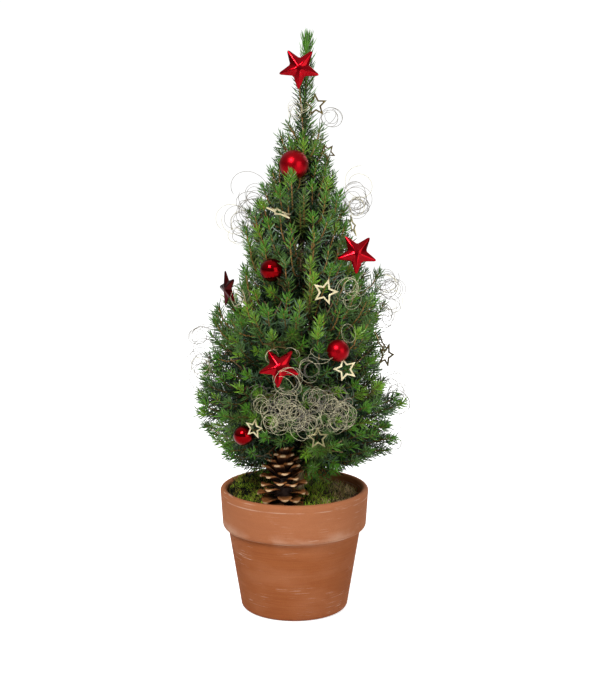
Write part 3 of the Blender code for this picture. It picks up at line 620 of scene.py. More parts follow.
def towards(azimuth, rise=0.0):
    """A direction one long, from its azimuth and its steepness in radians."""
    return Vector((cos(azimuth) * cos(rise), sin(azimuth) * cos(rise), sin(rise)))


def unit(vectors):
    """Rows of an array made one long."""
    return vectors / np.maximum(np.linalg.norm(vectors, axis=-1, keepdims=True), 1e-9)


# ------------------------ shader groups and materials

def new_group(name, inputs, outputs):
    """A shader node group with named inputs and outputs, each a (name, kind, default)."""
    group = bpy.data.node_groups.new(name, "ShaderNodeTree")
    for label, kind, default in inputs:
        socket = group.interface.new_socket(label, in_out="INPUT", socket_type=kind)
        if default is not None:
            socket.default_value = default
    for label, kind in outputs:
        group.interface.new_socket(label, in_out="OUTPUT", socket_type=kind)
    return group, group.nodes.new("NodeGroupInput"), group.nodes.new("NodeGroupOutput")


def mottle_group():
    """Noise stretched along the axes and sharpened into a mask."""
    group, start, end = new_group(
        "Mottle",
        (("Vector", "NodeSocketVector", None),
         ("Stretch", "NodeSocketVector", (1.0, 1.0, 1.0)),
         ("Scale", "NodeSocketFloat", 40.0),
         ("Low", "NodeSocketFloat", 0.4),
         ("High", "NodeSocketFloat", 0.6)),
        (("Mask", "NodeSocketFloat"),))
    stretch = group.nodes.new("ShaderNodeVectorMath")
    stretch.operation = "MULTIPLY"
    grain = new_node(group, "ShaderNodeTexNoise", Detail=5.0)
    spread = new_node(group, "ShaderNodeMapRange")
    join = group.links.new
    join(start.outputs["Vector"], stretch.inputs[0])
    join(start.outputs["Stretch"], stretch.inputs[1])
    join(stretch.outputs["Vector"], grain.inputs["Vector"])
    join(start.outputs["Scale"], grain.inputs["Scale"])
    join(grain.outputs["Fac"], spread.inputs["Value"])
    join(start.outputs["Low"], spread.inputs["From Min"])
    join(start.outputs["High"], spread.inputs["From Max"])
    join(spread.outputs["Result"], end.inputs["Mask"])


def tint_group():
    """One colour laid over another by a mask and a strength."""
    group, start, end = new_group(
        "Tint",
        (("Under", "NodeSocketColor", None),
         ("Over", "NodeSocketColor", None),
         ("Mask", "NodeSocketFloat", 0.5),
         ("Strength", "NodeSocketFloat", 1.0)),
        (("Color", "NodeSocketColor"),))
    amount = group.nodes.new("ShaderNodeMath")
    amount.operation = "MULTIPLY"
    amount.use_clamp = True
    blend = group.nodes.new("ShaderNodeMix")
    blend.data_type = "RGBA"
    join = group.links.new
    join(start.outputs["Mask"], amount.inputs[0])
    join(start.outputs["Strength"], amount.inputs[1])
    join(amount.outputs["Value"], blend.inputs["Factor"])
    join(start.outputs["Under"], blend.inputs["A"])
    join(start.outputs["Over"], blend.inputs["B"])
    join(blend.outputs["Result"], end.inputs["Color"])


def new_node(tree, kind, **inputs):
    """A node of a shader tree with some inputs set."""
    made = tree.nodes.new(kind)
    for label, value in inputs.items():
        made.inputs[label.replace("_", " ")].default_value = value
    return made


class Finish:
    """A material being built: its nodes, its Principled shader and object coordinates."""

    def __init__(self, name, color, roughness, specular=0.5):
        self.material = bpy.data.materials.new(name)
        self.material.use_nodes = True
        self.tree = self.material.node_tree
        self.shader = self.tree.nodes["Principled BSDF"]
        self.shader.inputs["Base Color"].default_value = (*color, 1.0)
        self.shader.inputs["Roughness"].default_value = roughness
        self.shader.inputs["Specular IOR Level"].default_value = specular
        self.material.diffuse_color = (*color, 1.0)

    def node(self, kind, **inputs):
        """A node with some inputs set."""
        return new_node(self.tree, kind, **inputs)

    def link(self, out, into):
        """Join two sockets."""
        self.tree.links.new(out, into)

    def feed(self, value, into):
        """Give an input a socket, a number or a colour."""
        if isinstance(value, bpy.types.NodeSocket):
            self.link(value, into)
        else:
            into.default_value = (*value, 1.0) if into.type == "RGBA" else value

    def place(self):
        """Object coordinates."""
        return self.node("ShaderNodeTexCoord").outputs["Object"]

    def mottle(self, scale, low, high, stretch=(1, 1, 1)):
        """A mask of stretched noise."""
        made = self.node("ShaderNodeGroup")
        made.node_tree = bpy.data.node_groups["Mottle"]
        self.link(self.place(), made.inputs["Vector"])
        for label, value in (("Stretch", stretch), ("Scale", scale), ("Low", low), ("High", high)):
            made.inputs[label].default_value = value
        return made.outputs["Mask"]

    def tint(self, under, over, mask, strength):
        """A colour laid over another; each is a colour or a socket."""
        made = self.node("ShaderNodeGroup")
        made.node_tree = bpy.data.node_groups["Tint"]
        for into, value in zip(made.inputs, (under, over, mask, strength)):
            self.feed(value, into)
        return made.outputs["Color"]

    def color(self, socket):
        """Feed the base colour."""
        self.link(socket, self.shader.inputs["Base Color"])

    def ramp(self, mask, **limits):
        """A mask spread between limits."""
        spread = self.node("ShaderNodeMapRange", **limits)
        self.link(mask, spread.inputs["Value"])
        return spread.outputs["Result"]

    def rough(self, mask, low, high):
        """Roughness that follows a mask."""
        self.link(self.ramp(mask, To_Min=low, To_Max=high), self.shader.inputs["Roughness"])

    def bump(self, masks, strength, distance):
        """Relief from one or more masks, each bump on the one before."""
        normal = None
        for mask in masks:
            made = self.node("ShaderNodeBump", Strength=strength, Distance=distance)
            self.link(mask, made.inputs["Height"])
            if normal is not None:
                self.link(normal, made.inputs["Normal"])
            normal = made.outputs["Normal"]
        self.link(normal, self.shader.inputs["Normal"])

    def height(self):
        """Height above the floor."""
        split = self.node("ShaderNodeSeparateXYZ")
        self.link(self.place(), split.inputs["Vector"])
        return split.outputs["Z"]

    def above(self, height, blur):
        """A mask that is 1 above a height."""
        return self.ramp(self.height(), From_Min=height - blur, From_Max=height + blur)

    def math(self, operation, first, second):
        """Arithmetic on two masks or numbers."""
        made = self.node("ShaderNodeMath")
        made.operation = operation
        for into, value in zip(made.inputs, (first, second)):
            self.feed(value, into)
        return made.outputs["Value"]

    def band(self, height, half):
        """A mask that is 1 at a height and fades out on both sides."""
        away = self.math("ABSOLUTE", self.math("SUBTRACT", self.height(), height), 0.0)
        return self.ramp(away, From_Max=half, To_Min=1.0, To_Max=0.0)


def plain(name, color, roughness, specular=0.5):
    """A material of one base colour, dealt out by spray, tuft or strand."""
    return Finish(name, color, roughness, specular).material


def clay_material(looks):
    """Fired clay: throwing lines, darker patches, pale bloom on the collar and streaks of lime."""
    clay = Finish("terracotta", looks.clay, 0.88, 0.2)
    patches = clay.mottle(15, 0.34, 0.70, (1, 1, 1.6))
    color = clay.tint(looks.clay, looks.deep, patches, 0.38)
    lines = clay.mottle(28, 0.38, 0.66, (1, 1, 30))
    color = clay.tint(color, looks.deep, lines, 0.34)
    ledge = POT_HEIGHT - COLLAR_HEIGHT
    collar = clay.above(ledge, 0.0006)
    color = clay.tint(color, looks.bloom, collar, 0.42)
    bloom = clay.mottle(24, 0.44, 0.72, (1, 1, 2))
    color = clay.tint(color, looks.bloom, bloom, 0.34)
    pale = paint(226, 196, 172)
    worn = clay.mottle(55, 0.40, 0.62)
    # Pale salts round the collar's foot, then wear under the lip and on the collar's edge
    for height, half, mask, strength in ((ledge + 0.004, 0.007, bloom, 0.5),
                                         (POT_HEIGHT - 0.0062, 0.0007, worn, 0.6),
                                         (ledge + 0.0010, 0.0008, worn, 0.45)):
        ring = clay.math("MULTIPLY", clay.band(height, half), mask)
        color = clay.tint(color, pale, ring, strength)
    scratches = clay.mottle(44, 0.60, 0.70, (1, 1, 26))
    places = clay.mottle(34, 0.50, 0.62, (1, 1, 1.5))
    streaks = clay.math("MULTIPLY", scratches, places)
    color = clay.tint(color, pale, streaks, 0.7)
    grit = clay.mottle(1500, 0.30, 0.75)
    color = clay.tint(color, paint(104, 56, 34), grit, 0.20)
    clay.color(color)
    clay.bump((lines, grit), 0.40, 0.00022)
    return clay.material


def soil_material():
    """Dark crumbly potting soil."""
    soil = Finish("potting_soil", paint(46, 34, 26), 0.95, 0.2)
    crumbs = soil.mottle(420, 0.35, 0.65)
    soil.color(soil.tint(paint(30, 22, 17), paint(84, 62, 44), crumbs, 0.8))
    soil.bump((crumbs,), 0.9, 0.0012)
    return soil.material


def painted_shade_moss_material(looks):
    """The cushion under the strands, near-black green as painted shade between them."""
    moss = Finish("moss_cushion", looks.deep, 0.95, 0.2)
    patches = moss.mottle(60, 0.40, 0.62)
    color = moss.tint(looks.deep, paint(44, 40, 22), patches, 0.8)
    fuzz = moss.mottle(700, 0.35, 0.65)
    moss.color(moss.tint(color, looks.olive, fuzz, 0.25))
    moss.bump((fuzz,), 0.8, 0.0010)
    return moss.material


def cone_material(looks):
    """Cone scales: dark at the root, brown outward, with a pale lip where the mesh's rim is 1."""
    dark = paint(44, 24, 12)
    cone = Finish("cone_scales", looks.scale_brown, 0.6, 0.35)
    grain = cone.mottle(420, 0.32, 0.68)
    rim = cone.node("ShaderNodeAttribute")
    rim.attribute_name = "rim"
    outward = cone.ramp(rim.outputs["Fac"], From_Min=0.22, From_Max=0.62)
    color = cone.tint(dark, looks.scale_brown, outward, 1.0)
    color = cone.tint(color, dark, grain, 0.5)
    lip = cone.ramp(rim.outputs["Fac"], From_Min=0.68, From_Max=0.84)
    blotch = cone.mottle(150, 0.35, 0.65)
    pale = cone.tint(looks.scale_tip, paint(196, 160, 118), blotch, 0.6)
    cone.color(cone.tint(color, pale, lip, 1.0))
    cone.rough(grain, 0.48, 0.72)
    cone.bump((grain,), 0.5, 0.0004)
    return cone.material


def bark_painted_light_material():
    """Grey-brown bark, fissured along the trunk with paler flakes, lightened further as painted
    light.
    """
    bark = Finish("bark", paint(176, 146, 112), 0.9, 0.25)
    fissures = bark.mottle(620, 0.40, 0.60, (1, 1, 0.22))
    flakes = bark.mottle(240, 0.48, 0.66, (1, 1, 0.6))
    color = bark.tint(paint(184, 152, 116), paint(104, 78, 54), fissures, 0.7)
    bark.color(bark.tint(color, paint(206, 184, 156), flakes, 0.5))
    bark.bump((fissures, flakes), 0.7, 0.0005)
    return bark.material


def red_material(name, tone, low, high, metallic, coat):
    """Red foil or lacquer, faintly uneven, from satin to glossy."""
    red = Finish(name, tone, low, 0.4)
    waves = red.mottle(130, 0.30, 0.72)
    red.color(red.tint(tone, paint(104, 0, 11), waves, 0.6))
    red.rough(waves, low, high)
    red.bump((waves,), 0.10, 0.0005)
    red.shader.inputs["Metallic"].default_value = metallic
    red.shader.inputs["Coat Weight"].default_value = coat
    red.shader.inputs["Coat Roughness"].default_value = 0.05
    return red.material


def gold_material(name, bright, rubbed_color, metallic):
    """Gold foil with darker rubbed places."""
    gold = Finish(name, bright, 0.4, 0.5)
    rubbed = gold.mottle(300, 0.45, 0.70)
    gold.color(gold.tint(bright, rubbed_color, rubbed, 0.55))
    gold.rough(rubbed, 0.26, 0.46)
    gold.bump((rubbed,), 0.2, 0.0002)
    gold.shader.inputs["Metallic"].default_value = metallic
    return gold.material


def wire_material():
    """Green lacquered wire, worn to the metal in places."""
    wire = Finish("wire_green", paint(66, 82, 50), 0.5, 0.4)
    worn = wire.mottle(400, 0.46, 0.66)
    wire.color(wire.tint(paint(66, 82, 50), paint(128, 124, 104), worn, 0.7))
    wire.rough(worn, 0.55, 0.35)
    return wire.material


# ------------------------ pot, soil and moss

def arc(center, radius, start, end, steps):
    """Points round a centre from one angle to another, in degrees."""
    points = []
    for i in range(steps + 1):
        angle = radians(start + (end - start) * i / steps)
        points.append((center[0] + radius * cos(angle), center[1] + radius * sin(angle)))
    return points


def wall(foot, top, rings, ridge):
    """Rings up a thrown wall, in and out a little by uneven ridges."""
    made = []
    for i in range(1, rings):
        share = i / rings
        radius = mix(foot[0], top[0], share)
        height = mix(foot[1], top[1], share)
        made.append((radius + ridge * noise.noise(Vector((0, 0, height * 420))), height))
    return made


def pot_rings(ridge):
    """Profile of the pot as (radius, height), from its underside round to its inner floor."""
    ledge = POT_HEIGHT - COLLAR_HEIGHT
    foot = arc((FOOT_RADIUS - FOOT_EDGE, FOOT_EDGE), FOOT_EDGE, -90, 0, 6)
    rings = foot + wall(foot[-1], (BODY_TOP_RADIUS, ledge), 34, ridge)
    rings.append((BODY_TOP_RADIUS, ledge - 0.0002))
    rings.append((BODY_TOP_RADIUS + 0.0004, ledge))
    edge = arc((COLLAR_FOOT_RADIUS - COLLAR_EDGE, ledge + COLLAR_EDGE), COLLAR_EDGE, -90, 0, 6)
    lip_height = POT_HEIGHT - LIP_RADIUS
    rings += edge + wall(edge[-1], (RIM_RADIUS, lip_height), 14, ridge)
    rings += arc((RIM_RADIUS - LIP_RADIUS, lip_height), LIP_RADIUS, 0, 180, 12)
    inner_lip = (RIM_RADIUS - 2 * LIP_RADIUS, lip_height)
    rings += wall(inner_lip, (INNER_COLLAR_RADIUS, INNER_COLLAR_HEIGHT), 6, 0.0)
    rings.append((INNER_COLLAR_RADIUS, INNER_COLLAR_HEIGHT))
    rings.append((INNER_BODY_RADIUS, INNER_BODY_HEIGHT))
    rings.append((INNER_FLOOR_RADIUS, POT_FLOOR))
    return rings


class SPRUCE_OT_turn_pot(bpy.types.Operator):
    """Turn the terracotta pot"""

    bl_idname = "spruce.turn_pot"
    bl_label = "Turn the Pot"

    def execute(self, context):
        looks = context.scene.pot_looks
        pot = turned("clay_pot", pot_rings(looks.ridge), looks.steps)
        smooth(pot, 50)
        finished(pot, clay_material(looks), ["pot"])
        return {"FINISHED"}


class SPRUCE_OT_fill_soil(bpy.types.Operator):
    """Give the soil its crumbly finish"""

    bl_idname = "spruce.fill_soil"
    bl_label = "Fill the Soil"

    def execute(self, context):
        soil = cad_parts["soil"]
        material = soil_material()
        for slot in soil.material_slots:
            slot.material = material
        return {"FINISHED"}


MOSS_VOXEL = 0.0013
MOSS_RELIEF = 0.0034
MOSS_RIM = 0.0560
MOSS_SHOULDER = 0.0930
MOUND = Vector((-0.036, 0.020, 0.0100))
MOUND_CORE = 0.020
MOUND_REACH = 0.032
STRANDS_PER_TUFT = 9
STRAND_WIDTH = 0.00066
MOSS_SEED = 7


def moss_shade(x, y, rng):
    """Colour of a tuft by its place: olive to the left, bright in front, dry to the right."""
    drift = x + 0.012 * noise.noise(Vector((x, y, 0)) * 60) + rng.gauss(0, 0.006)
    # Painted shade: in every place some tufts are dealt the deep, near-black green
    if drift > 0.030:
        return rng.choice(("dry", "dry", "reddish", "olive", "deep"))
    if drift > -0.004:
        return rng.choice(("bright", "bright", "olive", "deep", "deep", "deep"))
    return rng.choice(("olive", "olive", "bright", "deep", "deep", "deep"))


def blade_arrays(rows, corners, blade, bend):
    """Closed three-sided blades as arrays of vertices and faces.

    Each row holds a blade's root, its aim, the direction of its first corner, its length and width.
    """
    roots, aims, sides = rows[:, 0:3], rows[:, 3:6], rows[:, 6:9]
    lengths, widths = rows[:, 9], rows[:, 10]
    across = np.cross(aims, sides)
    verts = np.empty((len(rows), len(corners), 3))
    for i, (x, y, along, bent) in enumerate(corners):
        verts[:, i] = (roots + aims * (lengths * along)[:, None]
                       + (sides * x + across * y) * (widths / 2)[:, None]
                       + sides * (lengths * bend * bent)[:, None])
    starts = np.arange(len(rows)) * len(corners)
    faces = (starts[:, None, None] + np.array(blade)[None]).reshape(-1, 3)
    return verts.reshape(-1, 3), faces


class SPRUCE_OT_lay_moss(bpy.types.Operator):
    """Lay the moss cushion and set it with strands"""

    bl_idname = "spruce.lay_moss"
    bl_label = "Lay the Moss"

    def execute(self, context):
        looks = context.scene.ground_looks
        cushion = linked("moss_cushion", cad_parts["moss"].data.copy())
        edit(cushion, "SELECT")
        bpy.ops.mesh.remove_doubles(threshold=MERGE)
        close()
        edit(cushion)
        pick("VERT", lambda place: place.z > MOSS_SHOULDER
             and (place.xy - MOUND.xy).length < MOUND_CORE)
        bpy.ops.transform.translate(value=(0, 0, MOUND.z), use_proportional_edit=True,
                                    proportional_edit_falloff="SMOOTH",
                                    proportional_size=MOUND_REACH)
        close()
        cushion.data.remesh_voxel_size = MOSS_VOXEL
        bpy.ops.object.voxel_remesh()
        lumps = bpy.data.textures.new("moss_lumps", "CLOUDS")
        lumps.noise_scale = 0.006
        modify(cushion, "DISPLACE", texture=lumps, texture_coords="LOCAL", direction="Z",
               strength=MOSS_RELIEF)
        smooth(cushion)
        finished(cushion, painted_shade_moss_material(looks), ["moss"])
        self.set_strands(cushion, looks)
        return {"FINISHED"}

    def set_strands(self, cushion, looks):
        """Strands in tufts over the cushion, each tuft of one colour."""
        rng = Random(MOSS_SEED)
        tree = BVHTree.FromObject(cushion, bpy.context.evaluated_depsgraph_get())
        colors = {"olive": looks.olive, "bright": looks.bright, "deep": looks.deep,
                  "dry": looks.dry, "reddish": paint(112, 66, 50)}
        names = tuple(colors)
        rows = []
        for i in range(looks.tufts):
            radius = MOSS_RIM * ((i + 0.5) / looks.tufts) ** 0.5
            turn = i * GOLDEN_ANGLE
            x = radius * cos(turn) + rng.gauss(0, 0.0006)
            y = radius * sin(turn) + rng.gauss(0, 0.0006)
            place = tree.ray_cast(Vector((x, y, TREE_HEIGHT)), Vector((0, 0, -1)))[0]
            if place is None or near_cone(place) or near_trunk(place):
                continue
            shade = names.index(moss_shade(x, y, rng))
            for _ in range(STRANDS_PER_TUFT):
                lean = Vector((rng.gauss(0, 0.9), rng.gauss(0, 0.9), 0.75)).normalized()
                scale = rng.uniform(0.5, 1.15)
                foot = place + Vector((rng.gauss(0, 0.0009), rng.gauss(0, 0.0009), -0.0008))
                reach = MOSS_RIM - hypot(foot.x, foot.y)
                if reach < looks.strand:
                    lean = (lean - Vector((foot.x, foot.y, 0)) / MOSS_RIM * 0.8).normalized()
                rows.append((*foot, *lean, looks.strand * scale, STRAND_WIDTH, shade))
        rows = np.array(rows)
        aims = rows[:, 3:6]
        sides = unit(np.cross(aims, unit(np.random.default_rng(MOSS_SEED).normal(size=aims.shape))))
        blades = np.hstack((rows[:, 0:6], sides, rows[:, 6:8]))
        verts, faces = blade_arrays(blades, STRAND_CORNERS, STRAND_FACES, 0.35)
        materials = [plain("moss_" + name, colors[name], 0.8, 0.25) for name in names]
        shades = np.repeat(rows[:, 8].astype(int), len(faces) // len(rows))
        strands = array_mesh("moss_strands", verts, faces, shades, materials)
        finished(strands, None)


def near_cone(point):
    """Whether a point is under or inside the pine cone."""
    tip = cone_matrix() @ Vector((0, 0, CONE_LENGTH * 0.7))
    return not clear_of(point, [CONE_BASE, tip], CONE_RADIUS * 0.62)


def near_trunk(point):
    """Whether a point is in the trunk."""
    center = trunk_point(point.z)
    return hypot(point.x - center.x, point.y - center.y) < trunk_radius(point.z) + 0.0006


# ------------------------ pine cone

SCALE_LENGTH = 0.0156
SCALE_WIDTH = 0.0138
SCALE_COLUMNS = (0.0, 0.24, 0.50, 0.70, 0.84, 0.94, 1.0)
SCALE_ROWS = 6
SCALE_NECK = 0.42
SCALE_THICKNESS = 0.0009
SCALE_CUP = 0.0018
SCALE_ROUND = 0.30
SCALE_LIP = 0.0024
CONE_SCALE_RISE = (radians(-14), radians(64))
SCALE_REACH = 1.09
SCALE_VARIES = (0.90, 1.02)
CONE_SEED = 5
SCAR_RADIUS = 0.0052


def cone_matrix():
    """Place of the cone: upright on the moss, its tip leaning a little back and to the left."""
    lean = Matrix.Rotation(CONE_TURN, 4, "Z") @ Matrix.Rotation(-CONE_TILT, 4, "X")
    return Matrix.Translation(CONE_BASE) @ lean


def cone_outline(share):
    """Reach of the scales from the cone's axis, from its base (0) to its tip (1)."""
    if share < CONE_WIDEST:
        return CONE_RADIUS * mix(CONE_BASE_REACH, 1.0, sin(pi / 2 * share / CONE_WIDEST))
    fall = ((share - CONE_WIDEST) / (1 - CONE_WIDEST)) ** 1.5
    return CONE_RADIUS * mix(1.0, CONE_TIP_REACH, fall)


def scale_width(share):
    """Width of a cone scale along its length, from its neck to its full width."""
    return mix(SCALE_NECK, 1.0, sin(pi / 2 * min(share / 0.75, 1.0)))


def model_scale():
    """One woody scale from its root at the origin out along +X: cupped, with a thick pale lip."""
    deselect()
    bpy.ops.mesh.primitive_grid_add(x_subdivisions=len(SCALE_COLUMNS) - 1,
                                    y_subdivisions=SCALE_ROWS, size=1.0, location=(0.5, 0, 0))
    scale = bpy.context.object
    bpy.ops.object.transform_apply()
    edit(scale, "SELECT")
    scale_picked(SCALE_LENGTH, SCALE_WIDTH)
    even = SCALE_LENGTH / (len(SCALE_COLUMNS) - 1)
    near = SCALE_LENGTH * 0.001
    for step, share in reversed(list(enumerate(SCALE_COLUMNS))):
        pick("VERT", lambda place: abs(place.x - even * step) < near)
        shift_picked(SCALE_LENGTH * share * 4 - even * step, 0, 0)
    bpy.ops.mesh.select_all(action="SELECT")
    scale_picked(0.25, 1)
    for share in SCALE_COLUMNS:
        pick("VERT", lambda place: abs(place.x - SCALE_LENGTH * share) < near)
        scale_picked(1, scale_width(share))
    for step in range(SCALE_ROWS + 1):
        aside = step / SCALE_ROWS - 0.5
        for share in SCALE_COLUMNS[2:]:
            y = SCALE_WIDTH * aside * scale_width(share)
            pick("VERT", lambda place: abs(place.x - SCALE_LENGTH * share) < near
                 and abs(place.y - y) < near)
            back = SCALE_ROUND * (share - 0.4) * (2 * aside) ** 2
            lift = SCALE_CUP * share * (2 * aside) ** 2
            shift_picked(-SCALE_LENGTH * back, 0, lift)
    close()
    modify(scale, "SOLIDIFY", thickness=SCALE_THICKNESS, offset=-1.0)
    return scale


def thicken_lip(scale):
    """Draw the under side of the tip down into a lip, deepest in the middle."""
    edit(scale)
    for low, high, share in ((0.97, 1.1, 1.0), (0.90, 0.97, 0.85), (0.80, 0.90, 0.40)):
        for aside in (0.0, 0.17, 0.34):
            pick("VERT", lambda place: low < lip_share(place) < high and place.z < under(place)
                 and abs(abs(place.y) / SCALE_WIDTH - aside) < 0.08)
            depth = SCALE_LIP * (1 - aside / 0.5) * share
            shift_picked(0, 0, -depth)
    close()
    modify(scale, "SUBSURF", levels=1, render_levels=1)


def lip_share(place):
    """How far out along the scale a point is, measured against its rounded tip."""
    aside = 2 * place.y / SCALE_WIDTH
    share = place.x / SCALE_LENGTH
    return (share - 0.4 * SCALE_ROUND * aside ** 2) / (1 - SCALE_ROUND * aside ** 2)


def under(place):
    """Height that divides the scale's upper face from its under side."""
    aside = 2 * place.y / SCALE_WIDTH
    return SCALE_CUP * (place.x / SCALE_LENGTH) * aside ** 2 - SCALE_THICKNESS * 0.5


def mark_rim(obj):
    """Store on each point how far out it is on the scale: to 0.62 its body, above it the lip."""
    rim = obj.data.attributes.new("rim", "FLOAT", "POINT")
    for vert, value in zip(obj.data.vertices, rim.data):
        share = lip_share(vert.co)
        aside = abs(vert.co.y) / SCALE_WIDTH * 2
        body = 0.62 * min(share / 0.80, 1.0)
        below = (under(vert.co) - vert.co.z) / SCALE_LIP
        # Painted shade: the under side of the scale's body is kept darker
        if below > 0 and share < 0.80:
            body *= 0.45
        lip = clamp((share - 0.84) / 0.06) * clamp((below - 0.05) / 0.40)
        value.value = mix(body, 1.0, lip * clamp(1.1 - 2.6 * aside ** 2))


class SPRUCE_OT_set_cone(bpy.types.Operator):
    """Set the open pine cone on the moss"""

    bl_idname = "spruce.set_cone"
    bl_label = "Set the Pine Cone"

    def execute(self, context):
        looks = context.scene.ground_looks
        pattern = model_scale()
        thicken_lip(pattern)
        mark_rim(pattern)
        parts = [self.core(), self.scar()]
        rng = Random(CONE_SEED)
        for number in range(looks.scales):
            share = (number + 0.5) / looks.scales
            rise = mix(*CONE_SCALE_RISE, share ** 1.1) + radians(rng.uniform(-7, 7))
            root = CONE_CORE * mix(0.5, 0.2, share)
            size = (cone_outline(share) * SCALE_REACH - root) / cos(rise) / SCALE_LENGTH
            size *= rng.uniform(*SCALE_VARIES)
            height = CONE_CORE_LENGTH * share * 0.97
            turn = Matrix.Rotation(number * GOLDEN_ANGLE + radians(rng.uniform(-6, 6)), 4, "Z")
            place = Matrix.Translation((root, 0, height)) @ Matrix.Rotation(-rise, 4, "Y")
            shape = Matrix.Diagonal((size, mix(1.0, 0.62, share), mix(1.0, 0.8, share), 1.0))
            parts.append(placed_copy(pattern, "scale", cone_matrix() @ turn @ place @ shape))
        remove(pattern)
        cone = joined("open_cone", parts)
        smooth(cone, 60)
        finished(cone, cone_material(looks), ["pine_cone"])
        return {"FINISHED"}

    def core(self):
        """The cone's spindle."""
        rings = ((CONE_CORE * 0.7, 0.0008), (CONE_CORE, 0.004), (CONE_CORE * 0.9, 0.018),
                 (CONE_CORE_TIP, CONE_CORE_LENGTH), (CONE_CORE_TIP * 0.4, CONE_CORE_LENGTH + 0.003))
        core = turned("cone_core", rings, 16)
        core.data.attributes.new("rim", "FLOAT", "POINT")
        core.data.transform(cone_matrix())
        return core

    def scar(self):
        """The round scar at its base, where it broke from the branch."""
        rings = ((SCAR_RADIUS * 0.5, -0.0022), (SCAR_RADIUS * 0.86, -0.0025),
                 (SCAR_RADIUS, -0.0018), (SCAR_RADIUS, 0.0006), (SCAR_RADIUS * 0.7, 0.0020))
        scar = turned("cone_scar", rings, 20)
        rim = scar.data.attributes.new("rim", "FLOAT", "POINT")
        for value in rim.data:
            value.value = 0.55
        scar.data.transform(cone_matrix())
        return scar


# ------------------------ the source's rule of growth

Shoot = namedtuple("Shoot", "root direction length")


def trunk_share(z):
    """How far up the trunk a height is: 0 at the soil, 1 at the tip."""
    return (z - TRUNK_FOOT.z) / (TRUNK_TOP - TRUNK_FOOT.z)


def trunk_point(z):
    """Centre of the leaning, slightly bowed trunk at a height."""
    t = trunk_share(z)
    point = TRUNK_FOOT + TRUNK_LEAN * t
    return Vector((point.x - TRUNK_BOW * sin(pi * t), point.y, z))


def trunk_radius(z):
    """Radius of the trunk at a height: an even taper with a root flare at the foot."""
    taper = mix(TRUNK_RADIUS, TRUNK_TIP_RADIUS, clamp(trunk_share(z)) ** TRUNK_TAPER)
    return taper + FLARE * exp(-(z - TRUNK_FOOT.z) / FLARE_HEIGHT)


def crown_reach(z, azimuth):
    """How far the crown reaches from the trunk at a height, in one direction."""
    if z <= CROWN_OUTLINE[0][0]:
        left, right = CROWN_OUTLINE[0][1:]
    elif z >= TREE_HEIGHT:
        left, right = CROWN_OUTLINE[-1][1:]
    else:
        for (z0, l0, r0), (z1, l1, r1) in zip(CROWN_OUTLINE, CROWN_OUTLINE[1:]):
            if z <= z1:
                share = (z - z0) / (z1 - z0)
                left = mix(l0, l1, share)
                right = mix(r0, r1, share)
                break
    return OUTLINE_SPREAD * mix(left, right, (1 + cos(azimuth)) / 2)


def turn_between(a, b):
    """Signed angle from one azimuth to another, within half a turn."""
    return (b - a + pi) % (2 * pi) - pi


def crown_floor(azimuth):
    """Lowest height of the foliage in one direction: it lifts over the pine cone."""
    away = abs(turn_between(CONE_LIFT_AZIMUTH, azimuth))
    return CROWN_FLOOR + CONE_LIFT * clamp((CONE_LIFT_WIDTH - away) / CONE_LIFT_FADE)


class Space:
    """The room that one mass keeps to: a sector of the crown between two rising cones."""

    def __init__(self, level, index):
        tier = TIERS[level]
        self.azimuth = radians(tier.first) + index * 2 * pi / tier.masses
        self.half = pi / tier.masses
        self.floor = TIERS[level - 1] if level > 0 else None
        self.roof = tier
        self.limb = bough_line(self, tier, index) if tier.bough else []

    def lower(self, radius, azimuth):
        """Height of the lower boundary."""
        if self.floor is None:
            return crown_floor(azimuth)
        return self.floor.top + self.floor.slope * radius

    def upper(self, radius):
        """Height of the upper boundary."""
        return self.roof.top + self.roof.slope * radius

    def middle(self, radius):
        """A point half way up the space, on the mass's own azimuth."""
        low = self.lower(radius, self.azimuth)
        z = mix(low, self.upper(radius), 0.5)
        return trunk_point(z) + towards(self.azimuth) * radius

    def holds(self, point, margin):
        """Whether a point is inside, at least `margin` from every boundary."""
        center = trunk_point(point.z)
        x = point.x - center.x
        y = point.y - center.y
        radius = hypot(x, y)
        azimuth = atan2(y, x)
        side = self.half - abs(turn_between(self.azimuth, azimuth))
        if side <= 0 or radius * sin(min(side, pi / 2)) < margin:
            return False
        nearest = trunk_radius(point.z) + margin
        if radius < nearest or radius > crown_reach(point.z, azimuth) - margin:
            return False
        cone = [CONE_BASE, cone_matrix() @ Vector((0, 0, CONE_LENGTH))]
        if self.floor is None and not clear_of(point, cone, CONE_RADIUS + CONE_CLEARANCE):
            return False
        if self.limb and (point - self.limb[-1]).dot(self.limb[-1] - self.limb[-2]) < 0:
            return False
        slope_margin = margin * (1 + self.roof.slope)
        low = self.lower(radius, azimuth) + slope_margin
        return low < point.z < self.upper(radius) - slope_margin


def clear_of(point, limb, distance):
    """Whether a point keeps a distance from a limb given as a list of points."""
    for a, b in zip(limb, limb[1:]):
        along = b - a
        t = clamp((point - a).dot(along) / along.length_squared)
        if (point - a - along * t).length < distance:
            return False
    return True


def run_inside(space, root, direction, longest, margin):
    """How far a straight run from a root stays inside a space."""
    length = 0.0
    while length < longest and space.holds(root + direction * (length + STRIDE), margin):
        length += STRIDE
    return length


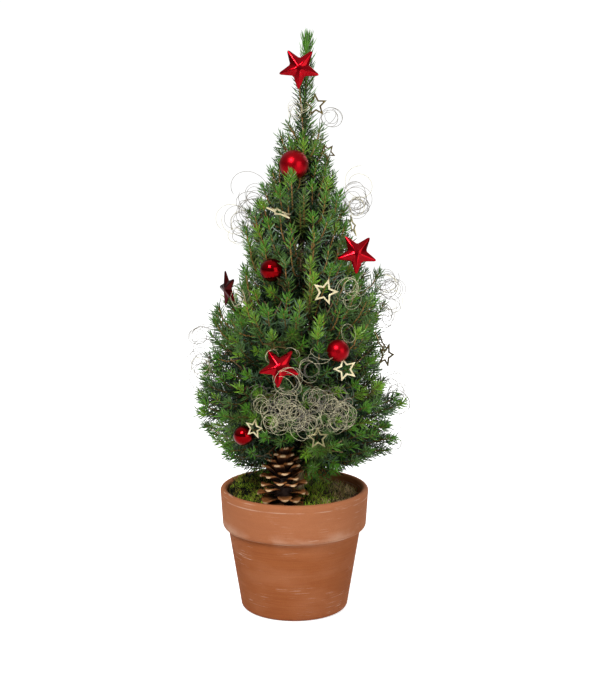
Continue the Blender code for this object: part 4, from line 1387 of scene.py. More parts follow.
def bough_line(space, tier, index):
    """Path of a bough from the trunk to where its foliage begins."""
    thickness = space.upper(0.0) - space.lower(0.0, space.azimuth)
    stagger = BOUGH_STAGGER * ((index * GOLDEN_ANGLE / (2 * pi)) % 1.0 - 0.5)
    end = space.middle(tier.bough)
    start = trunk_point(space.middle(0.0).z + thickness * stagger)
    steep = abs((end - start).normalized().z)
    start += towards(space.azimuth) * (trunk_radius(start.z) + GAP + BOUGH_ROOT_RADIUS * steep)
    sag = Vector((0.0, 0.0, -BOUGH_SAG * (end - start).length))
    return [start, start.lerp(end, BOUGH_COLLAR), start.lerp(end, 0.5) + sag, end]


def grow_mass(level, index):
    """Stem points and shoots of one mass, by the seeded rule."""
    tier = TIERS[level]
    space = Space(level, index)
    rng = Random(CROWN_SEED * 1000 + level * 50 + index)
    limb = space.limb
    if limb:
        heading = (limb[-1] - limb[-2]).normalized()
        root = limb[-1] + heading * GAP
    else:
        foot = space.middle(0.0)
        heading = (space.middle(AIM_RADIUS) - foot).normalized()
        near = trunk_radius(foot.z) + GAP + STEM_RADIUS * abs(heading.z)
        root = space.middle(near)
    aim = space.middle(AIM_RADIUS)
    aim.z = mix(space.lower(AIM_RADIUS, space.azimuth), space.upper(AIM_RADIUS), AIM)
    outward = (aim - root).normalized()
    wander = Vector((rng.uniform(-1, 1), rng.uniform(-1, 1), rng.uniform(-0.5, 1)))
    outward = (outward + wander * STEM_WANDER).normalized()
    bend = root + heading * STEM_LEAD
    room = STEM_LEAD + run_inside(space, bend, outward, LONGEST_STEM, MASS_MARGIN)
    stem = [root, bend, bend + outward * (room * STEM_SHARE - STEM_LEAD)]
    shoots = [Shoot(stem[-1], outward, max(room * (1 - STEM_SHARE), tier.length * END_SHOOT))]
    spin = rng.uniform(0, 2 * pi)
    for i in range(tier.shoots):
        share = mix(FIRST_SHOOT, 1.0, (i + 0.5) / tier.shoots)
        base = stem[1].lerp(stem[2], share)
        for _ in range(SHOOT_TRIES):
            spin += GOLDEN_ANGLE
            shoot = grow_shoot(space, base, outward, spin, tier)
            if shoot:
                shoots.append(shoot)
                break
    return stem, shoots


def grow_shoot(space, base, outward, spin, tier):
    """One side shoot, or nothing where it would leave the space or come near the bough."""
    aside = outward.orthogonal().normalized()
    aside.rotate(Quaternion(outward, spin))
    direction = outward * cos(SHOOT_ANGLE) + aside * sin(SHOOT_ANGLE)
    direction = (direction + Vector((0, 0, tier.lift))).normalized()
    length = run_inside(space, base, direction, tier.length, MASS_MARGIN)
    if length < tier.length * SHOOT_SHORTEST:
        return None
    return Shoot(base, direction, length)


# ------------------------ finer twigs

Twig = namedtuple("Twig", "base control tip length tier outer tuft")


def skeleton(level, index):
    """Points along the stem and shoots of a mass, from which finer twigs leave."""
    stem, shoots = grow_mass(level, index)
    runs = [(stem[0], stem[1]), (stem[1], stem[2])]
    runs += [(shoot.root, shoot.root + shoot.direction * shoot.length) for shoot in shoots]
    points = []
    for start, end in runs:
        count = max(2, int((end - start).length / SKELETON_STEP))
        points += [start.lerp(end, i / count) for i in range(count + 1)]
    return np.array(points), runs


def shoot_heading(point, tier, rng):
    """Direction in which a shoot's tip points: outward and up, more steeply in the higher tiers."""
    center = trunk_point(point.z)
    azimuth = atan2(point.y - center.y, point.x - center.x)
    azimuth += radians(rng.uniform(-SHOOT_SWING, SHOOT_SWING))
    rise = LOWEST_RISE if point.z < LOWEST_SHOOTS else SHOOT_RISE[tier.name]
    rise = radians(rise + rng.uniform(-RISE_VARIES, RISE_VARIES))
    return towards(azimuth, rise)


def in_window(point):
    """Whether a shoot that ends at a point would hide the trunk or the pine cone in front."""
    low, high = WINDOW_HEIGHTS
    center = trunk_point(point.z)
    at_trunk = low < point.z < high and abs(point.x - center.x) < WINDOW_HALF_WIDTH
    at_cone = (point.z < CONE_WINDOW_TOP and point.y < CONE_BASE.y
               and abs(point.x - CONE_BASE.x) < CONE_WINDOW_HALF_WIDTH)
    return (at_trunk and point.y < center.y) or at_cone


def fine_twigs(level, index, tips, spacing, depth, outer):
    """Twigs of one mass whose tips fill its side of the crown, a least distance apart."""
    tier = TIERS[level]
    space = Space(level, index)
    rng = Random(CROWN_SEED * 3000 + level * 50 + index + (500 if outer else 0))
    points, _ = skeleton(level, index)
    spacing *= SHOOT_CROWDING[tier.name]
    low = max(space.lower(0.0, space.azimuth), LOWEST_TIP)
    high = min(space.upper(0.095), HIGHEST_TIP)
    made = []
    misses = 0
    while misses < TIP_TRIES:
        misses += 1
        azimuth = space.azimuth + rng.uniform(-space.half, space.half)
        z = rng.uniform(low, high)
        reach = outline(z, azimuth) * rng.uniform(*depth)
        edge = trunk_point(z) + towards(azimuth) * reach
        heading = shoot_heading(edge, tier, rng)
        tip = edge - heading * NEEDLE_REACH
        if not space.holds(tip, 0.0) or in_window(tip):
            continue
        if tips and np.min(np.linalg.norm(np.array(tips) - np.array(tip), axis=1)) < spacing:
            continue
        length = tier.length * rng.uniform(*SHOOT_VARIES)
        want = np.array(tip - heading * length)
        base = Vector(points[np.argmin(np.linalg.norm(points - want, axis=1))])
        control = tip - heading * (length * CONTROL_SHARE)
        made.append(Twig(base, control, tip, length, tier, outer, None))
        tips.append(tuple(tip))
        misses = 0
    return made


def outline(z, azimuth):
    """Reach of the needles at a height, drawn in and out where one spray stands before another."""
    lobes = noise.noise(Vector((cos(azimuth) * 2, sin(azimuth) * 2, z / LOBE_SIZE)))
    widened = 1 + (LOW_WIDENING * clamp((WIDENING_TOP - z) / WIDENING_FALL)
                   * clamp((z - WIDENING_FOOT) / WIDENING_RISE))
    drawn_in = 1 - LOBE_DEPTH * clamp(0.5 - lobes)
    return crown_reach(z, azimuth) / OUTLINE_SPREAD * widened * drawn_in


def front_twigs(tips):
    """The single shoots that stand in front, each from the nearest wood below it."""
    made = []
    for shoot in FRONT_SHOOTS:
        tier = TIERS[shoot.tier]
        out = towards(radians(shoot.azimuth)) * shoot.out
        heading = shoot.azimuth if shoot.heading is None else shoot.heading
        aim = towards(radians(heading), radians(shoot.rise))
        tip = trunk_point(shoot.height) + out - aim * NEEDLE_REACH
        want = np.array(tip - aim * shoot.length)
        wood = np.vstack([skeleton(shoot.tier, index)[0] for index in range(tier.masses)])
        base = Vector(wood[np.argmin(np.linalg.norm(wood - want, axis=1))])
        control = tip - aim * (shoot.length * CONTROL_SHARE)
        made.append(Twig(base, control, tip, shoot.length, tier, True, shoot.tuft))
        tips.append(tuple(tip))
    return made


def twig_path(twig, shares):
    """Points and headings along a twig at shares from its base (0) to its tip (1)."""
    t = shares[:, None]
    base, control, tip = (np.array(point) for point in (twig.base, twig.control, twig.tip))
    points = (1 - t) ** 2 * base + 2 * t * (1 - t) * control + t ** 2 * tip
    headings = unit((1 - t) * (control - base) + t * (tip - control))
    return points, headings


def needle_rows(points, headings, spins, spreads, lengths, widths, rng):
    """Roots, aims, sides, lengths and widths of needles set round a twig."""
    turned_side = unit(np.cross(headings, SKEW))
    third = np.cross(headings, turned_side)
    around = turned_side * np.cos(spins)[:, None] + third * np.sin(spins)[:, None]
    aims = headings * np.cos(spreads)[:, None] + around * np.sin(spreads)[:, None]
    aims[:, 2] += NEEDLE_LIFT
    aims = unit(aims + rng.normal(scale=0.07, size=aims.shape))
    sides = unit(around - aims * np.sum(around * aims, axis=1, keepdims=True))
    return np.hstack((points, aims, -sides, lengths[:, None], widths[:, None]))


def dealt(greens, rng):
    """Index of a green drawn by its share."""
    return NEEDLE_SHADES.index(rng.choice(tuple(greens), p=tuple(greens.values())))


def twig_needles(twig, looks, rng):
    """Rows of the needles of one twig, and the shade of each by its spray."""
    chord = (twig.tip - twig.base).length
    needled = min(1.0, twig.length * NEEDLED_SHARE / chord)
    density = looks.density if twig.outer else looks.density * INNER_DENSITY
    width = looks.width if twig.outer else looks.width * INNER_WIDTH
    count = int(chord * needled * density)
    shares = mix(1 - needled, 1.0, (np.arange(count) + 0.5) / count)
    points, headings = twig_path(twig, shares)
    spins = np.arange(count) * GOLDEN_ANGLE + rng.uniform(0, 2 * pi)
    young = np.clip((shares - YOUNG_FROM) / YOUNG_FADE, 0, 1)
    spreads = mix(NEEDLE_SPREAD, TIP_SPREAD, young ** 1.5) + rng.normal(scale=0.08, size=count)
    lengths = looks.needle * rng.uniform(*NEEDLE_VARIES, size=count)
    body = needle_rows(points, headings, spins, spreads, lengths, np.full(count, width), rng)
    steps = np.linspace(0, 1, TUFT_NEEDLES)
    points, headings = twig_path(twig, mix(1 - TUFT_LENGTH / chord, 1.0, steps))
    spins = np.arange(TUFT_NEEDLES) * GOLDEN_ANGLE
    spreads = mix(*TUFT_SPREAD, steps ** 2)
    lengths = looks.needle * mix(*TUFT_SHORTENS, steps)
    widths = mix(width, width * TUFT_THINS, steps)
    tuft = needle_rows(points, headings, spins, spreads, lengths, widths, rng)
    # Painted shade: the low tiers' outer sprays take darker greens
    outer_greens = LOW_SHADED_GREENS if twig.tier.name in SHADED_TIERS else OUTER_GREENS
    # Painted shade: inner sprays take the darkest greens and darker tips
    body_shade = dealt(outer_greens if twig.outer else INNER_SHADED_GREENS, rng)
    tip_shade = dealt(OUTER_TIPS if twig.outer else INNER_SHADED_TIPS, rng)
    if twig.tuft:
        tip_shade = NEEDLE_SHADES.index(twig.tuft)
    shades = np.full(count, body_shade)
    shades[young > YOUNG_END] = tip_shade if rng.random() < YOUNG_SHARE else body_shade
    return np.vstack((body, tuft)), np.append(shades, np.full(TUFT_NEEDLES, tip_shade))


def leader_needles(looks, rng):
    """Needles of the leading shoot and of the bare trunk below it, ending in a fresh tuft."""
    shares = (np.arange(LEADER_NEEDLES) + 0.5) / LEADER_NEEDLES
    tuft = np.linspace(0, 1, LEADER_TUFT)
    heights = np.append(mix(LEADER_LOW, TRUNK_TOP, shares), mix(LEADER_TUFT_FOOT, TRUNK_TOP, tuft))
    heights -= GAP
    spreads = np.append(mix(*LEADER_SPREAD, shares ** 2),
                        rng.uniform(*LEADER_TUFT_SPREAD, size=LEADER_TUFT))
    count = len(heights)
    shares = np.append(shares, np.ones(LEADER_TUFT))
    points = np.array([trunk_point(z) for z in heights])
    foot, top = trunk_point(LEADER_FOOT), trunk_point(TRUNK_TOP)
    headings = np.tile(np.array((top - foot).normalized()), (count, 1))
    spins = np.arange(count) * GOLDEN_ANGLE
    spreads += rng.normal(scale=0.10, size=count)
    room = (TREE_HEIGHT - heights) / np.maximum(np.cos(spreads), 0.2)
    lengths = np.minimum(LEADER_NEEDLE * rng.uniform(*NEEDLE_VARIES, size=count), room)
    widths = np.full(count, looks.width)
    rows = needle_rows(points, headings, spins, spreads, lengths, widths, rng)
    fresh = rng.random(count) < mix(*LEADER_FRESH, shares ** 2)
    shades = np.where(fresh, NEEDLE_SHADES.index("fresh"), NEEDLE_SHADES.index("mid"))
    dull = rng.random(count) < mix(*LEADER_DULL, shares)
    shades[dull] = rng.choice((NEEDLE_SHADES.index("old"), NEEDLE_SHADES.index("olive")),
                              size=int(dull.sum()))
    return rows, shades


def tube_arrays(paths, radii, sides, upright):
    """Closed tubes along paths of equal length, as arrays of vertices and faces.

    `upright` is a direction for each path that no part of it runs along.
    """
    count, rings, _ = paths.shape
    along = np.empty_like(paths)
    along[:, 1:-1] = paths[:, 2:] - paths[:, :-2]
    along[:, 0] = paths[:, 1] - paths[:, 0]
    along[:, -1] = paths[:, -1] - paths[:, -2]
    along = unit(along)
    first = unit(np.cross(along, upright[:, None, :]))
    second = np.cross(along, first)
    angles = np.arange(sides) * 2 * pi / sides
    around = (first[:, :, None] * np.cos(angles)[None, None, :, None]
              + second[:, :, None] * np.sin(angles)[None, None, :, None])
    verts = (paths[:, :, None] + around * radii[:, :, None, None]).reshape(-1, 3)
    ring, side = np.meshgrid(np.arange(rings - 1), np.arange(sides), indexing="ij")
    after = (side + 1) % sides
    a, b = ring * sides + side, ring * sides + after
    quads = np.stack((a, b, b + sides, a + sides), axis=-1).reshape(-1, 4)
    walls = np.concatenate((quads[:, (0, 1, 2)], quads[:, (0, 2, 3)]))
    fan = [(0, i + 1, i) for i in range(1, sides - 1)]
    last = (rings - 1) * sides
    fan += [(last, last + i, last + i + 1) for i in range(1, sides - 1)]
    one = np.concatenate((walls, np.array(fan)))
    faces = (np.arange(count) * rings * sides)[:, None, None] + one[None]
    return verts, faces.reshape(-1, 3), len(one)


def twig_mesh(twigs, looks):
    """All fine twigs as one mesh: outer ones orange-brown beyond their base, darker as painted
    shade low down.
    """
    shares = np.linspace(0, 1, TWIG_RINGS)
    paths = np.array([twig_path(twig, shares)[0] for twig in twigs])
    radii = np.tile(mix(*TWIG_RADII, shares), (len(twigs), 1))
    verts, faces, each = tube_arrays(paths, radii, TWIG_SIDES, np.tile(SKEW, (len(twigs), 1)))
    ring = np.repeat(np.arange(TWIG_RINGS - 1), TWIG_SIDES)
    caps = np.repeat((0, TWIG_RINGS), TWIG_SIDES - 2)
    old_base = np.concatenate((ring, ring, caps)) < OLD_RINGS
    low = np.where(old_base, 1, 2)
    inner = np.ones(each)
    # Painted shade: beyond their base, the low tiers' outer twigs take the darker bark
    shades = [inner if not twig.outer else low if twig.tier.name in SHADED_TIERS else old_base
              for twig in twigs]
    materials = [plain("twig_young", looks.twig, 0.6, 0.3),
                 plain("twig_old", looks.wood, 0.8, 0.25),
                 plain("twig_painted_shade", looks.dull, 0.7, 0.25)]
    made = array_mesh("twigs", verts, faces, np.array(shades, dtype=int).ravel(), materials)
    finished(made, None)


def foliage_nodes(names, slot):
    """CAD masses of some tiers whose material slot is one of the needle slots."""
    slots = ("dark", "mid", "fresh")
    nodes = []
    for tier in TIERS:
        if tier.name in names:
            nodes += ["foliage_%s_%d" % (tier.name, index + 1) for index in range(tier.masses)
                      if slots[index % len(slots)] == slot]
    if "top" in names and slot == "fresh":
        nodes.append("foliage_leader")
    return nodes


class SPRUCE_OT_grow_foliage(bpy.types.Operator):
    """Grow the fine twigs and their needles"""

    bl_idname = "spruce.grow_foliage"
    bl_label = "Grow the Foliage"

    def execute(self, context):
        looks = context.scene.foliage_looks
        tips = []
        twigs = front_twigs(tips)
        for outer, spacing, depth in ((True, looks.outer, OUTER_DEPTH),
                                      (False, looks.inner, INNER_DEPTH)):
            for level, tier in enumerate(TIERS):
                for index in range(tier.masses):
                    twigs += fine_twigs(level, index, tips, spacing, depth, outer)
        twig_mesh(twigs, looks)
        rng = np.random.default_rng(CROWN_SEED)
        grown = {tier.name: [] for tier in TIERS}
        for twig in twigs:
            grown[twig.tier.name].append(twig_needles(twig, looks, rng))
        grown["top"].append(leader_needles(looks, rng))
        greens = [plain("needles_" + name, getattr(looks, name), 0.36) for name in NEEDLE_SHADES]
        for names in NEEDLE_GROUPS:
            sprays = [spray for name in names for spray in grown[name]]
            rows = np.vstack([spray[0] for spray in sprays])
            shades = np.concatenate([spray[1] for spray in sprays])
            for slot in ("dark", "mid", "fresh"):
                self.needle_piece(names, slot, rows, shades, greens)
        return {"FINISHED"}

    def needle_piece(self, names, slot, rows, shades, greens):
        """The needles of one group of tiers and one slot, as one mesh of plain greens."""
        own = [i for i, name in enumerate(NEEDLE_SHADES) if SHADE_SLOTS[name] == slot]
        chosen = np.isin(shades, own)
        part = rows[chosen]
        verts, faces = blade_arrays(part, NEEDLE_CORNERS, NEEDLE_FACES, NEEDLE_BEND)
        shade = np.searchsorted(own, shades[chosen])
        each = len(faces) // len(part)
        name = "needles_%s_%s" % (names[0], slot)
        colors = [greens[i] for i in own]
        obj = array_mesh(name, verts, faces, np.repeat(shade, each), colors, rounded=False)
        finished(obj, None, foliage_nodes(names, slot))


# ------------------------ trunk and boughs

BARK_RELIEF = 0.0007
BARK_LEVEL = 0.6
LIMB_SMOOTHNESS = 12


def limb(name, points, radii, rings, sides):
    """A limb through some points, drawn as a curve and made a mesh of even rings."""
    curve = bpy.data.curves.new(name, "CURVE")
    curve.dimensions = "3D"
    curve.bevel_depth = 1.0
    curve.bevel_resolution = sides // 2 - 2
    curve.use_fill_caps = True
    spline = curve.splines.new("NURBS")
    spline.points.add(len(points) - 1)
    for spline_point, point, radius in zip(spline.points, points, radii):
        spline_point.co = (*point, 1.0)
        spline_point.radius = radius
    spline.use_endpoint_u = True
    spline.order_u = 3
    spline.resolution_u = rings
    choose(linked(name, curve))
    bpy.ops.object.convert(target="MESH")
    made = bpy.context.object
    edit(made, "SELECT")
    bpy.ops.mesh.remove_doubles(threshold=MERGE)
    bpy.ops.mesh.normals_make_consistent(inside=False)
    close()
    return made


class SPRUCE_OT_raise_trunk(bpy.types.Operator):
    """Raise the trunk and its boughs in rough bark"""

    bl_idname = "spruce.raise_trunk"
    bl_label = "Raise the Trunk"

    def execute(self, context):
        heights = [TRUNK_FOOT.z + FLARE_HEIGHT * i / 3 for i in range(6)]
        heights += [mix(heights[-1], TRUNK_TOP, (i + 1) / 14) for i in range(14)]
        points = [trunk_point(z) for z in heights]
        parts = [limb("trunk_bark", points, [trunk_radius(z) for z in heights], 10, 20)]
        nodes = ["trunk"]
        for level, tier in enumerate(TIERS):
            for index in range(tier.masses):
                parts += self.mass_limbs(level, index)
                if tier.bough:
                    nodes.append("bough_%s_%d" % (tier.name, index + 1))
        wood = joined("bark_limbs", parts)
        relief = bpy.data.textures.new("bark_relief", "CLOUDS")
        relief.noise_scale = 0.0022
        modify(wood, "DISPLACE", texture=relief, texture_coords="LOCAL", strength=BARK_RELIEF,
               mid_level=BARK_LEVEL)
        smooth(wood, 70)
        finished(wood, bark_painted_light_material(), nodes)
        return {"FINISHED"}

    def mass_limbs(self, level, index):
        """The bough of a mass, with the stem that goes on from it and its main shoots."""
        tier = TIERS[level]
        _, runs = skeleton(level, index)
        line = Space(level, index).limb
        stem = [runs[0][0], runs[0][1], runs[1][1]]
        if line:
            radii = [mix(BOUGH_ROOT_RADIUS, BOUGH_TIP_RADIUS, i / 3) for i in range(4)]
            parts = [limb("bough", line, radii, LIMB_SMOOTHNESS, 12)]
        else:
            parts = []
        parts.append(limb("stem", stem, [STEM_RADIUS, STEM_RADIUS, STEM_RADIUS * 0.7], 6, 8))
        for start, end in runs[2:] if tier.bough else ():
            path = [start, start.lerp(end, LIMB_SHARE / 2), start.lerp(end, LIMB_SHARE)]
            parts.append(limb("shoot", path, [STEM_RADIUS * 0.7, STEM_RADIUS * 0.55, 0.0003], 4, 6))
        return parts


# ------------------------ ornaments

STAR_WAIST = 0.42
STAR_RADIUS = 0.017
STAR_EDGE = 0.0009
GOLD_STAR_WAIST = 0.46
GOLD_STAR_RADIUS = 0.0102
GOLD_STAR_EDGE = 0.025
GOLD_THICKNESS = 0.0011
WIRE_RADIUS = 0.00028
WIRE_LENGTH = 0.018
WIRE_STEPS = 3
WIRE_SIDES = 6
CAP_RADIUS = 0.0026
CAP_HEIGHT = 0.0022
FIBRE_SEED = 11
FIBRE_SIDES = 3
FIBRE_DEPTH = (-0.008, 0.001)
FIBRE_VARIES = (0.70, 1.35)
FIBRE_TURNS = (0.8, 2.0)
# Shares of the greyer fibre, for loose and for laid curls: on the loose ones it is painted shade
SILVER_AND_SHADE_SHARES = (0.85, 0.28)
CURL_STEPS = 46
LOOSE_THICKNESS = 1.5


def spot(ornament):
    """Where an ornament's middle is."""
    return trunk_point(ornament.height) + towards(radians(ornament.azimuth)) * ornament.out


def facing(ornament):
    """Place of a flat ornament modelled in the XY plane with its top along +Y."""
    front = towards(radians(ornament.faces), radians(ornament.rises))
    top = (Vector((0, 0, 1)) - front * front.z).normalized()
    turn = Matrix((top.cross(front), top, front)).transposed().to_4x4()
    roll = Matrix.Rotation(radians(ornament.roll), 4, "Z")
    return Matrix.Translation(spot(ornament)) @ turn @ roll


def star_outline(radius, waist, fill):
    """A flat five-pointed star: a ten-cornered disc with every second corner drawn in."""
    deselect()
    bpy.ops.mesh.primitive_circle_add(vertices=10, radius=radius, fill_type=fill)
    star = bpy.context.object
    edit(star)
    pick("VERT", lambda place: place.length > radius / 2
         and round((atan2(place.y, place.x) - pi / 2) / (pi / 5)) % 2 == 1)
    scale_picked(waist, waist)
    return star


def model_red_star(depth):
    """A star one unit in radius whose arms are ridged on both faces."""
    star = star_outline(1.0, STAR_WAIST, "TRIFAN")
    pick("VERT", lambda place: place.length < 0.1)
    shift_picked(0, 0, depth)
    close()
    modify(star, "MIRROR", use_axis=(False, False, True), merge_threshold=0.0001)
    edit(star, "SELECT")
    bpy.ops.mesh.normals_make_consistent(inside=False)
    close()
    bevelled(star, STAR_EDGE / STAR_RADIUS, 3)
    return star


def model_gold_star(bar):
    """A star one unit in radius that is only an outline of flat bars."""
    star = star_outline(1.0, GOLD_STAR_WAIST, "NGON")
    bpy.ops.mesh.select_mode(type="FACE")
    bpy.ops.mesh.select_all(action="SELECT")
    bpy.ops.mesh.inset(thickness=bar)
    bpy.ops.mesh.delete(type="FACE")
    close()
    modify(star, "SOLIDIFY", thickness=GOLD_THICKNESS / GOLD_STAR_RADIUS, offset=0.0)
    bevelled(star, GOLD_STAR_EDGE, 2)
    return star


def wires(places):
    """Short wires that run from the back of each ornament into the foliage."""
    paths = np.array([[start + back * (WIRE_LENGTH * i / WIRE_STEPS) for i in range(WIRE_STEPS + 1)]
                      for start, back in places])
    radii = np.full(paths.shape[:2], WIRE_RADIUS)
    verts, faces, _ = tube_arrays(paths, radii, WIRE_SIDES, np.tile(SKEW, (len(paths), 1)))
    return verts, faces, np.zeros(len(faces), dtype=int)


def inward(ornament):
    """Direction from an ornament back towards the trunk, a little upwards."""
    azimuth = radians(ornament.azimuth)
    return Vector((-cos(azimuth), -sin(azimuth), 0.35)).normalized()


def hang_stars(name, pattern, ornaments, angle, material):
    """Copies of a star at their places, joined into one piece."""
    made = joined(name, [placed_copy(pattern, "star", facing(item) @ Matrix.Scale(item.size, 4))
                         for item in ornaments])
    smooth(made, angle)
    finished(made, material)


class SPRUCE_OT_hang_red_stars(bpy.types.Operator):
    """Hang the glossy red stars"""

    bl_idname = "spruce.hang_red_stars"
    bl_label = "Hang the Red Stars"

    def execute(self, context):
        looks = context.scene.ornament_looks
        pattern = model_red_star(looks.star_depth / STAR_RADIUS)
        red = red_material("red_foil", looks.red, 0.14, 0.24, 0.96, 0.12)
        # Painted shade: a darker copy of the red foil for the star in shade
        shaded_red = red_material("red_foil_painted_shade", looks.shaded_red, 0.16, 0.26, 0.96, 0.12)
        hang_stars("red_stars", pattern, RED_STARS, 50, red)
        hang_stars("red_stars_painted_shade", pattern, RED_STARS_PAINTED_SHADE, 50, shaded_red)
        remove(pattern)
        return {"FINISHED"}


class SPRUCE_OT_hang_gold_stars(bpy.types.Operator):
    """Hang the outline stars of pale and of darker gold"""

    bl_idname = "spruce.hang_gold_stars"
    bl_label = "Hang the Gold Stars"

    def execute(self, context):
        looks = context.scene.ornament_looks
        pattern = model_gold_star(looks.frame_width / GOLD_STAR_RADIUS)
        for name, ornaments, gold, color, rubbed, metallic in (
                ("pale_stars", PALE_STARS, "pale_gold", looks.gold, (196, 170, 112), 0.35),
                ("olive_stars", OLIVE_STARS, "olive_gold", looks.olive_gold, (112, 104, 70), 0.5),
                # Painted shade: a darker copy of the gold for the stars turned from the light
                ("gold_stars_painted_shade", GOLD_STARS_PAINTED_SHADE, "gold_painted_shade", looks.gold_painted_shade, (52, 42, 24), 0.8)):
            material = gold_material(gold, color, paint(*rubbed), metallic)
            hang_stars(name, pattern, ornaments, 30, material)
        remove(pattern)
        return {"FINISHED"}


class SPRUCE_OT_wire_ornaments(bpy.types.Operator):
    """Hold every star by a short wire that runs back into the foliage"""

    bl_idname = "spruce.wire_ornaments"
    bl_label = "Wire the Ornaments"

    def execute(self, context):
        places = [(spot(item), inward(item)) for item in RED_STARS + RED_STARS_PAINTED_SHADE]
        places += [(facing(item) @ Vector((0, item.size * 0.8, 0)), inward(item))
                   for item in PALE_STARS + OLIVE_STARS + GOLD_STARS_PAINTED_SHADE]
        verts, faces, shades = wires(places)
        made = array_mesh("ornament_wires", verts, faces, shades, [wire_material()])
        finished(made, None)
        return {"FINISHED"}


class SPRUCE_OT_hang_baubles(bpy.types.Operator):
    """Hang the satin and the glossy baubles by their caps"""

    bl_idname = "spruce.hang_baubles"
    bl_label = "Hang the Baubles"

    def execute(self, context):
        looks = context.scene.ornament_looks
        ball, cap = self.model_ball(), self.model_cap()
        satin = red_material("red_satin", looks.red, 0.30, 0.38, 0.88, 0.0)
        # Painted reflection: the darker red stands in for the dark foliage that the glossy baubles
        # reflect
        glossy = red_material("red_gloss", looks.glossy_red_painted_shade, 0.08, 0.12, 1.0, 0.06)
        caps = []
        for name, ornaments, material in (("satin_baubles", SATIN_BAUBLES, satin),
                                          ("glossy_baubles", GLOSSY_BAUBLES, glossy)):
            balls = []
            for ornament in ornaments:
                back = Vector((0, 0, 1)).rotation_difference(inward(ornament)).to_matrix().to_4x4()
                place = Matrix.Translation(spot(ornament)) @ back
                balls.append(placed_copy(ball, "ball", place @ Matrix.Scale(ornament.size, 4)))
                top = Matrix.Translation((0, 0, ornament.size * 0.985))
                caps.append(placed_copy(cap, "cap", place @ top))
            made = joined(name, balls)
            smooth(made)
            finished(made, material)
        remove(ball)
        remove(cap)
        tops = joined("bauble_caps", caps)
        smooth(tops, 40)
        finished(tops, gold_material("cap_gold", looks.gold, paint(158, 128, 66), 0.7))
        return {"FINISHED"}

    def model_ball(self):
        """A ball one unit in radius with a short neck at the top."""
        deselect()
        bpy.ops.mesh.primitive_uv_sphere_add(segments=40, ring_count=24, radius=1.0)
        ball = bpy.context.object
        edit(ball)
        pick("FACE", lambda place: place.z > 0.98)
        bpy.ops.mesh.extrude_region_move(TRANSFORM_OT_translate={"value": (0, 0, 0.05)})
        close()
        return ball

    def model_cap(self):
        """A fluted cap with a wire loop."""
        rings = [(CAP_RADIUS * 1.06, 0.0), (CAP_RADIUS * 1.06, 0.0003), (CAP_RADIUS, 0.0006)]
        rings += [(CAP_RADIUS, CAP_HEIGHT), (CAP_RADIUS * 0.6, CAP_HEIGHT * 1.2)]
        cap = turned("cap", rings, 24)
        edit(cap)
        pick("VERT", lambda place: hypot(place.x, place.y) > CAP_RADIUS * 0.9
             and round(atan2(place.y, place.x) / (pi / 12)) % 2 == 0)
        scale_picked(0.9, 0.9)
        close()
        deselect()
        bpy.ops.mesh.primitive_torus_add(major_radius=0.0017, minor_radius=0.0003,
                                         major_segments=20, minor_segments=6,
                                         location=(0, 0, CAP_HEIGHT * 1.2 + 0.0014),
                                         rotation=(pi / 2, 0, 0))
        loop = bpy.context.object
        bpy.ops.object.transform_apply()
        return joined("cap", [cap, loop])


def curl(center, normal, radius, turns, rng):
    """Points of one loose curl that winds round a normal and drifts a little as it goes."""
    shares = np.linspace(0, 1, CURL_STEPS)
    angles = shares * turns * 2 * pi + rng.uniform(0, 2 * pi)
    first = unit(np.cross(normal, rng.normal(size=3)))
    second = np.cross(normal, first)
    swell = radius * (1 + 0.12 * np.sin(angles * 0.41 + rng.uniform(0, 6)) + 0.12 * shares)
    squeeze = rng.uniform(0.84, 1.0)
    drift = rng.normal(scale=radius * 0.28, size=3)
    lift = normal * radius * 0.30
    return (center + first[None] * (swell * np.cos(angles))[:, None]
            + second[None] * (swell * squeeze * np.sin(angles))[:, None]
            + drift[None] * (shares ** 2)[:, None]
            + lift[None] * np.sin(angles * 0.5)[:, None])


class SPRUCE_OT_drape_fibre(bpy.types.Operator):
    """Drape the curled fibre over the crown"""

    bl_idname = "spruce.drape_fibre"
    bl_label = "Drape the Fibre"

    def execute(self, context):
        looks = context.scene.ornament_looks
        rng = np.random.default_rng(FIBRE_SEED)
        paths, normals, shades, thick = [], [], [], []
        for bundle in BUNDLES:
            azimuth = radians(bundle.azimuth)
            out = np.array((cos(azimuth), sin(azimuth), 0.0))
            across = np.array((-sin(azimuth), cos(azimuth), 0.0))
            middle = np.array(trunk_point(bundle.height)) + out * bundle.out
            for _ in range(bundle.loops):
                center = (middle + across * rng.uniform(-1, 1) * bundle.wide
                          + np.array((0, 0, rng.uniform(-1, 1) * bundle.tall))
                          + out * rng.uniform(*FIBRE_DEPTH))
                front = out if bundle.laid else across
                normal = unit(front + rng.normal(scale=0.32, size=3))
                radius = bundle.radius * rng.uniform(*FIBRE_VARIES)
                paths.append(curl(center, normal, radius, rng.uniform(*FIBRE_TURNS), rng))
                normals.append(normal)
                # Painted shade: most loose curls take the greyer fibre, as they stand shaded
                # against the backdrop
                shades.append(int(rng.random() < SILVER_AND_SHADE_SHARES[bundle.laid]))
                thick.append(looks.strand * (1.0 if bundle.laid else LOOSE_THICKNESS))
        paths = np.array(paths)
        radii = np.tile(np.array(thick)[:, None] / 2, (1, CURL_STEPS))
        radii[:, (0, -1)] /= 3
        verts, faces, each = tube_arrays(paths, radii, FIBRE_SIDES, np.array(normals))
        materials = [plain("fibre_cream", looks.cream, 0.5),
                     plain("fibre_silver_painted_shade", looks.silver_and_painted_shade, 0.4)]
        made = array_mesh("curled_fibre", verts, faces, np.repeat(shades, each), materials)
        finished(made, None)
        return {"FINISHED"}


# ------------------------ stage

FLOOR_RADIUS = 40.0


